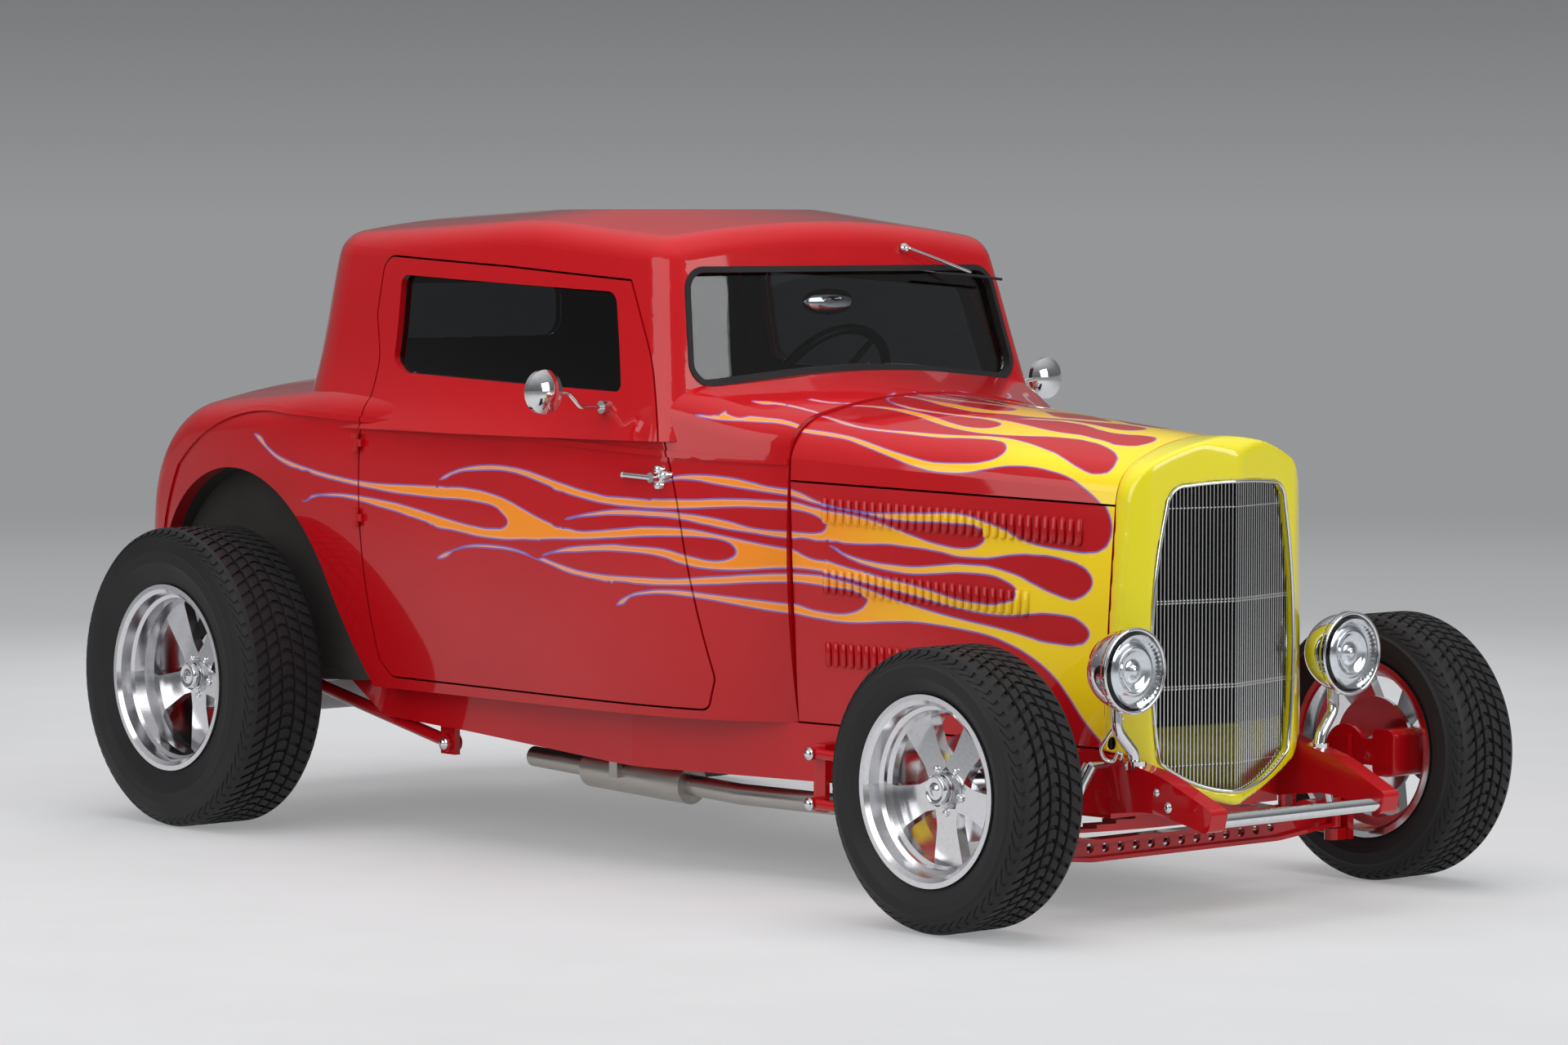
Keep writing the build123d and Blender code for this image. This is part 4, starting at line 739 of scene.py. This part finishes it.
tyre_table = (
    # end, axle x, sideways place, radius, width, rim radius, half the rim width, pitches
    ("front", front_axle_x, 0.690, 0.310, 0.2160, 0.1953, 0.092, 64),
    ("rear", rear_axle_x, 0.800, 0.379, 0.2530, 0.2223, 0.112, 74),
)
groove_depth, groove_half, cut_depth, slant, cut_every = 0.007, 0.0042, 0.0045, 0.55, 3
shoulder_in, shoulder_out, shoulder_drop, face_fall = 0.026, 0.011, 0.022, 0.0006
bend_drop, bend_over = 0.025, 0.012
for end, axle_x, track_half, radius, width, rim, rim_half, pitches in tyre_table:
    half, bead = width / 2, rim_half - 0.0104
    tread = half - 0.034
    ribs = (-tread, -0.6 * tread, -0.2 * tread, 0.2 * tread, 0.6 * tread, tread)
    middle = (rim + radius) / 2
    wall = (
        # from the bead out over the sidewall to the edge of the tread: place across the tyre, radius
        (bead - 0.014, rim + 0.0006), (bead, rim + 0.002), (bead + 0.0015, rim + 0.010),
        (bead + 0.001, rim + 0.013), (bead + 0.004, rim + 0.016), (half - 0.0085, middle - 0.022),
        (half - 0.0035, middle - 0.012), (half - 0.0012, middle - 0.008), (half - 0.0009, middle + 0.018),
        (half - 0.0026, middle + 0.020), (half - 0.006, radius - 0.034), (half - 0.0095, radius - 0.024),
        (half - 0.016, radius - 0.0125), (half - 0.024, radius - 0.0045), (tread, radius - 0.0004),
    )
    section = [(-a, r) for a, r in wall]
    for index, (low, high) in enumerate(zip(ribs, ribs[1:])):
        left = low if index == 0 else low + groove_half
        right = high if index == 4 else high - groove_half
        if index:
            section += [(left - groove_half * 0.5, radius - groove_depth), (left, radius - face_fall)]
        section += [(left + 0.3 * (right - left), radius), (left + 0.7 * (right - left), radius)]
        if index < 4:
            section += [(right, radius - face_fall), (right + groove_half * 0.5, radius - groove_depth)]
    section += [(a, r) for a, r in reversed(wall)]
    section.append((0, rim + 0.0006))
    for side in (1, -1):
        bm = bmesh.new()
        ring = [bm.verts.new((0, a, r)) for a, r in section]
        edges = [bm.edges.new((ring[k], ring[(k + 1) % len(ring)])) for k in range(len(ring))]
        steps = pitches * cut_every
        bmesh.ops.spin(
            bm, geom=ring + edges, cent=(0, 0, 0), axis=(0, 1, 0), angle=math.tau, steps=steps, use_merge=True
        )
        bmesh.ops.recalc_face_normals(bm, faces=bm.faces)
        cut_faces = []
        for face in bm.faces:
            spot = face.calc_center_median()
            reach = math.hypot(spot.x, spot.z)
            shoulder = half - shoulder_in < abs(spot.y) < half - shoulder_out
            if reach > radius - 0.0011 or (shoulder and reach > radius - shoulder_drop):
                step = math.floor((math.atan2(spot.x, spot.z) / math.tau % 1) * steps)
                if step % cut_every == 0:
                    cut_faces.append(face)
        pressed = bmesh.ops.extrude_face_region(bm, geom=cut_faces)["geom"]
        bmesh.ops.delete(bm, geom=cut_faces, context="FACES")
        for vert in {item for item in pressed if isinstance(item, bmesh.types.BMVert)}:
            reach = math.hypot(vert.co.x, vert.co.z)
            vert.co.x *= 1 - cut_depth / reach
            vert.co.z *= 1 - cut_depth / reach
        for vert in bm.verts:
            reach = math.hypot(vert.co.x, vert.co.z)
            if reach > radius - bend_drop:
                share = min(1, (reach - radius + bend_drop) / bend_over)
                bend = slant * (abs(vert.co.y) - 0.3 * tread) * share / radius
                vert.co = Matrix.Rotation(bend, 3, "Y") @ vert.co
        bmesh.ops.translate(bm, verts=bm.verts, vec=(axle_x, side * track_half, radius))
        bmesh.ops.recalc_face_normals(bm, faces=bm.faces)
        name = f"{end}_{'left' if side > 0 else 'right'}"
        tyre = settled("treaded_tyre_" + name, bm, rubber, "wheel_" + name, smooth=False)
        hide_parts("tyre_" + name)

# Wheels: cast aluminium polished by hand, with brake discs turned from iron behind the spokes.
# A crowned cap is screwed to each hub with small bolts, and chromed nuts hold the wheel on.

alloy = metal("polished_aluminium", (0.80, 0.80, 0.82), 0.10, 0.10, 130.0, depth=0.02)
dress(alloy, "wheel_front_left", "wheel_front_right", "wheel_rear_left", "wheel_rear_right")
hub_table = (
    # end, axle x, sideways place, axle height, how far the hub's face stands out from the tyre's middle
    ("front", front_axle_x, 0.690, 0.310, 0.008),
    ("rear", rear_axle_x, 0.800, 0.379, -0.008),
)
cap_seat, cap_screws, screw_ring, screw_rise, screw_radius, screw_seat = 0.033, 6, 0.0325, 5, 3.6, 16
wheel_nuts, nut_ring, nut_seat, first_nut = 5, 0.051, 0.030, math.radians(90 + 36)
cap_outline = ((0, 0), (0, 36), (4, 37), (12, 35.5), (20, 31), (22.5, 28.5), (20.5, 27), (20.5, 12),
               (23, 10), (23.5, 0))
nut_outline = ((0, 0), (0, 10.5), (3, 10.5), (4, 9), (19, 9), (22, 6.5), (23, 0))
for end, axle_x, track_half, radius, face in hub_table:
    for side in (1, -1):
        bm = bmesh.new()
        centre = Vector((axle_x, side * (track_half + face + cap_seat), radius))
        turned(bm, cap_outline, centre, "Y", 40, side)
        screw = [(a * screw_rise + screw_seat, r * screw_radius) for a, r in bolt_outline]
        for k in range(cap_screws):
            turn = math.tau * k / cap_screws
            spot = centre + Vector((math.cos(turn) * screw_ring, side * -0.001, math.sin(turn) * screw_ring))
            turned(bm, screw, spot, "Y", 10, side)
        for k in range(wheel_nuts):
            turn = first_nut + math.tau * k / wheel_nuts
            spot = centre + Vector((math.cos(turn) * nut_ring, -side * nut_seat, math.sin(turn) * nut_ring))
            turned(bm, nut_outline, spot, "Y", 6, side)
        name = f"{end}_{'left' if side > 0 else 'right'}"
        settled("hub_cap_" + name, bm, chrome, "wheel_" + name)

# Headlamps: a silvered dish with a fluted outer ring and a small projector bowl behind a domed glass.
# The chromed bucket and stand are the carried-over solids; a loop of plated conduit feeds each lamp.

lamp_x, lamp_y, lamp_z = 1.546 + axle_middle, 0.345, 0.557
flutes, flute_inside, flute_middle, flute_outside = 48, 0.060, 0.07, 0.0845
deep_flute, shallow_flute = 0.0022, 0.0010
silver = metal("lamp_silver", (0.88, 0.89, 0.91), 0.09, 0.08)
lens_glass, tree, shader = finish_named(
    "lens_glass", (0.96, 0.98, 1.0), 0.02, 0.0, Transmission_Weight=1.0, IOR=1.45
)
height, shade = rippled(tree, 60.0)
tree.links.new(ramp(tree, shade, 0.3, 0.7, 0.0, 0.04), shader.inputs["Roughness"])
bumped(tree, shader, height, 0.1, 0.0006)
dish_outline = ((-10, 85.5), (-4, 83.5), (-9.2, 64), (-8, 56), (-2, 53), (-1.5, 47.5), (-6, 43), (-10.4, 30),
                (-10.6, 13), (-2, 11), (1, 6), (1.5, 0))
glass_outline = ((7, 0), (6.2, 25), (4, 50), (1, 70), (-2.4, 85.2), (0.2, 85.7), (3.4, 70), (6.4, 50),
                 (8.6, 25), (9.4, 0))
rim_outline = ((-12, 95), (-6, 95.2), (1, 94), (2.6, 90.5), (1, 86.8), (-3, 86), (-12, 95))
conduit_x, conduit_route = 1.494 + axle_middle, (
    # back from the lamp's stand, out from the middle, height
    (0.0, 0.330, 0.452), (0.024, 0.352, 0.410), (0.046, 0.350, 0.372), (0.040, 0.322, 0.352),
    (0.022, 0.318, 0.372), (0.030, 0.306, 0.350), (0.036, 0.300, 0.338),
)
glasses, dishes, rims = bmesh.new(), bmesh.new(), bmesh.new()
for side in (1, -1):
    centre = Vector((lamp_x, side * lamp_y, lamp_z))
    before = set(dishes.verts)
    turned(dishes, dish_outline, centre, "X", 2 * flutes)
    for vert in set(dishes.verts) - before:
        spot = vert.co - centre
        reach = math.hypot(spot.y, spot.z)
        step = round(math.atan2(spot.y, spot.z) / math.tau * 2 * flutes)
        if flute_inside < reach < flute_outside and step % 2:
            vert.co.x -= deep_flute if reach > flute_middle else shallow_flute
    turned(glasses, glass_outline, centre, "X", 64)
    turned(rims, rim_outline, centre - Vector((0.0005, 0, 0)), "X", 72)
settled("lamp_dishes", dishes, silver)
settled("lamp_rims", rims, chrome)
lens = settled("lamp_glasses", glasses, lens_glass)
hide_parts("headlight_lenses")
for side, hand in ((1, "left"), (-1, "right")):
    loop = [(conduit_x - back, side * out, z) for back, out, z in conduit_route]
    bar_along("lamp_conduit_" + hand, loop, 0.0042, chrome)

# Glass: tinted safety glass in black rubber, laid into the cab's openings from outside.
# The doors' panes are darker than the windshield and the back window.


def tinted_glass(name, tint):
    material, tree, shader = finish_named(
        name, tint, 0.0, 0.0, Transmission_Weight=1.0, IOR=1.45, Specular_IOR_Level=0.6
    )
    height, shade = rippled(tree, 8.0)
    tinted_between(tree, shader, shade, [0.8 * part for part in tint], tint)
    bumped(tree, shader, height, 0.04, 0.001)
    return material


dress(tinted_glass("smoked_glass", (0.66, 0.69, 0.71)), "fixed_glass")
dress(tinted_glass("dark_glass", (0.055, 0.06, 0.065)), "door_glass_left", "door_glass_right")
dress(rubber, "window_seals")

# Underneath and inside: undercoated floor and tubs, a cast block, a plated tank and stainless pipes.
# The seat is two sewn pads in tan leather with upright rolls; they stand in for the plain solids.

undercoat, tree, shader = finish_named("undercoat", (0.022, 0.021, 0.02), 0.85)
height, shade = rippled(tree, 150.0)
tinted_between(tree, shader, shade, (0.014, 0.013, 0.012), (0.045, 0.04, 0.036))
bumped(tree, shader, height, 0.5, 0.002)
dress(undercoat, "floor_pan")
dress(metal("cast_iron", (0.10, 0.10, 0.105), 0.5, 0.25, 240.0, depth=0.06), "engine_block")
dress(metal("tank_steel", (0.42, 0.42, 0.43), 0.28, 0.2, 60.0), "fuel_tank")
dress(metal("stainless_pipe", (0.52, 0.49, 0.45), 0.22, 0.22, 14.0, (1.0, 6.0, 6.0)), "exhaust_pipes")

leather, tree, shader = finish_named("tan_leather", (0.28, 0.16, 0.08), 0.5, 0.0, Specular_IOR_Level=0.4)
cells = put(tree, "TexVoronoi", place_of(tree), sockets={"Scale": 520.0}, feature="DISTANCE_TO_EDGE")
height, shade = rippled(tree, 90.0)
tinted_between(tree, shader, shade, (0.22, 0.12, 0.06), (0.33, 0.19, 0.10))
tree.links.new(ramp(tree, height, 0.3, 0.7, 0.42, 0.62), shader.inputs["Roughness"])
grain = calc(tree, "ADD", calc(tree, "MINIMUM", cells.outputs[0], 0.12), calc(tree, "MULTIPLY", height, 0.1))
bumped(tree, shader, grain, 0.35, 0.001)

pad_table = (
    # name, low corner, high corner, lean of the front face from foot to top, axis the rolls face
    ("seat_cushion", (-0.742, -0.498, 0.386), (-0.266, 0.498, 0.573), 0.0, "Z"),
    ("seat_back", (-0.912, -0.515, 0.440), (-0.752, 0.515, 1.095), -0.085, "X"),
)
roll_pitch, roll_depth, pad_edge, crown_depth = 0.083, 0.011, 0.035, 0.006
pad_cuts = ((0, 8), (1, 72), (2, 10))
for name, low, high, lean, faces in pad_table:
    bm = bmesh.new()
    bmesh.ops.create_cube(bm, size=1.0)
    low, high = Vector(low), Vector(high)
    size, middle = high - low, (low + high) / 2
    bmesh.ops.scale(bm, verts=bm.verts, vec=size)
    edges = bm.edges[:]
    bmesh.ops.bevel(bm, geom=edges, offset=pad_edge, segments=4, profile=0.5, affect="EDGES", material=-1)
    for axis, count in pad_cuts:
        for k in range(1, count):
            cut, way = Vector((0, 0, 0)), Vector((0, 0, 0))
            cut[axis], way[axis] = -size[axis] / 2 + size[axis] * k / count, 1
            whole = bm.verts[:] + bm.edges[:] + bm.faces[:]
            bmesh.ops.bisect_plane(bm, geom=whole, plane_co=cut, plane_no=way)
    front = 2 if faces == "Z" else 0
    for vert in bm.verts:
        u, v = vert.co.y / size.y * 2, vert.co[2 - front] / size[2 - front] * 2
        share = max(0.0, vert.co[front] / size[front] + 0.5)
        seam = 1 - abs(math.sin(math.pi * vert.co.y / roll_pitch)) ** 0.6
        inset = min(1.0, (1 - abs(u)) * 8) * min(1.0, (1 - abs(v)) * 4)
        vert.co[front] -= share * (roll_depth * seam * max(inset, 0) + crown_depth * (u * u + v * v) / 2)
        if faces == "X":
            vert.co.x += lean * (vert.co.z / size.z + 0.5) * (0.5 + share * 0.42)
    bmesh.ops.translate(bm, verts=bm.verts, vec=middle)
    bmesh.ops.triangulate(bm, faces=[face for face in bm.faces if len(face.verts) > 4])
    bmesh.ops.recalc_face_normals(bm, faces=bm.faces)
    pad = settled(name, bm, leather)
    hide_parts("seat")

dress(metal("steering_black", (0.03, 0.028, 0.027), 0.35, 0.15, 300.0), "steering_wheel")

# Small fittings: wiper and inside mirror hang from the roof rail, gauges sit in the dash,
# door mirrors get their glass, tail lamps their plated rings, the engine its covers and air cleaner.

mirror_x, mirror_z, mirror_stretch = 0.258, 1.337, 2.6
arm_route = ((0.338, 0.190, 1.468), (0.350, 0.290, 1.436), (0.357, 0.385, 1.406))
blade_route = ((0.364, 0.262, 1.405), (0.359, 0.385, 1.3985), (0.346, 0.500, 1.388))
bar_along("wiper_arm", arm_route, 0.0042, chrome)
bar_along("wiper_blade", blade_route, 0.0035, rubber)
small = bmesh.new()
pivot_outline = ((0, 0), (0, 13), (16, 12), (22, 8), (24, 0))
mirror_outline = ((0, 0), (0, 30), (6, 32), (14, 26), (20, 0))
turned(small, pivot_outline, (0.318, 0.190, 1.466), "X", 24)
turned(small, ((0, 0), (0, 6), (50, 5), (50, 0)), (0.262, 0.0, 1.345), "X", 16)
turned(small, mirror_outline, (mirror_x, 0.0, mirror_z), "X", 40)
for vert in small.verts:
    # The mirror and the end of its stem are widened into an oval.
    if abs(vert.co.x - mirror_x - 0.01) < 0.012 and math.hypot(vert.co.y, vert.co.z - mirror_z) < 0.04:
        vert.co.y *= mirror_stretch
settled("roof_rail_fittings", small, chrome)

gauge_x, gauge_z = 0.236 + axle_middle, 1.035
gauge_table = ((0.330, 50), (0.205, 38), (0.455, 38), (0.120, 28), (0.0, 28))
bezels, dials = bmesh.new(), bmesh.new()
for y, radius in gauge_table:
    bezel = ((-2, radius), (-2, radius + 6), (6, radius + 4), (7, radius), (-2, radius))
    turned(bezels, bezel, (gauge_x, y, gauge_z), "X", 40, -1)
    turned(dials, ((-2, 0), (-2, radius), (2, radius), (2, 0)), (gauge_x, y, gauge_z), "X", 40, -1)
settled("gauge_bezels", bezels, chrome)
dial, tree, shader = finish_named("dial_face", (0.8, 0.78, 0.7), 0.4)
marks = put(
    tree, "TexWave", place_of(tree), sockets={"Scale": 60.0}, wave_type="RINGS", rings_direction="X"
).outputs[1]
tinted_between(tree, shader, ramp(tree, marks, 0.6, 0.7), (0.02, 0.02, 0.02), (0.75, 0.74, 0.68))
settled("gauge_dials", dials, dial)

mirror_glass = metal("mirror_silver", (0.92, 0.93, 0.94), 0.01, 0.02)
# ahead, up and radius of each lobe of a handle's plate, mm
plate_lobes = ((0, 0, 17), (17, 6, 11), (-4, 18, 11), (-4, -18, 11))
mirror_place, handle_place = (0.0608 + axle_middle, 0.808, 1.135), (0.246 + axle_middle, 0.607, 0.937)
for side, hand in ((1, "left"), (-1, "right")):
    bm, (x, y, z) = bmesh.new(), mirror_place
    turned(bm, ((0, 0), (0, 47), (1.5, 46), (2, 0)), (x, side * y, z), "X", 48, -1)
    settled("door_mirror_glass_" + hand, bm, mirror_glass, "door_" + hand)
    bm, (x, y, z) = bmesh.new(), handle_place
    for ahead, up, radius in plate_lobes:
        lobe = ((-22, radius), (4, radius), (9, radius * 0.7), (10.5, 0))
        turned(bm, lobe, (x + ahead / 1000, side * y, z + up / 1000), "Y", 28, side)
    settled("door_handle_plate_" + hand, bm, chrome, "door_" + hand)

red_lens, tree, shader = finish_named("red_lens", (0.55, 0.008, 0.006), 0.12, 0.0, Coat_Weight=0.6)
rings = put(
    tree, "TexWave", place_of(tree), sockets={"Scale": 34.0}, wave_type="BANDS", bands_direction="Z"
).outputs[1]
tinted_between(tree, shader, rings, (0.35, 0.004, 0.004), (0.62, 0.012, 0.008))
bumped(tree, shader, rings, 0.3, 0.002)
dress(red_lens, "tail_lamps")
bm = bmesh.new()
ring_outline = ((0, 38.2), (0, 44), (12, 43), (13, 38.2), (0, 38.2))
for side in (1, -1):
    turned(bm, ring_outline, (-1.948 + axle_middle, side * 0.420, 0.455), "X", 48, -1)
settled("tail_lamp_rings", bm, chrome)

bm = bmesh.new()
engine_x, cleaner_z = 0.87 + axle_middle, 0.829
cleaner_outline = ((0, 0), (0, 55), (40, 50), (45, 150), (50, 160), (56, 158), (56, 150), (104, 150),
                   (104, 158), (112, 158), (122, 146), (130, 50), (130, 8), (142, 6), (142, 0))
cover_size, cover_y, cover_z, cover_edge = (0.52, 0.085, 0.060), 0.185, 0.858, 0.016
turned(bm, cleaner_outline, (engine_x, 0, cleaner_z), "Z", 56)
for side in (1, -1):
    cover = bmesh.ops.create_cube(bm, size=1.0)["verts"]
    bmesh.ops.scale(bm, verts=cover, vec=cover_size)
    bmesh.ops.translate(bm, verts=cover, vec=(engine_x, side * cover_y, cover_z))
    edges = list({edge for vert in cover for edge in vert.link_edges})
    bmesh.ops.bevel(bm, geom=edges, offset=cover_edge, segments=4, profile=0.5, affect="EDGES", material=-1)
settled("engine_dress_parts", bm, chrome)
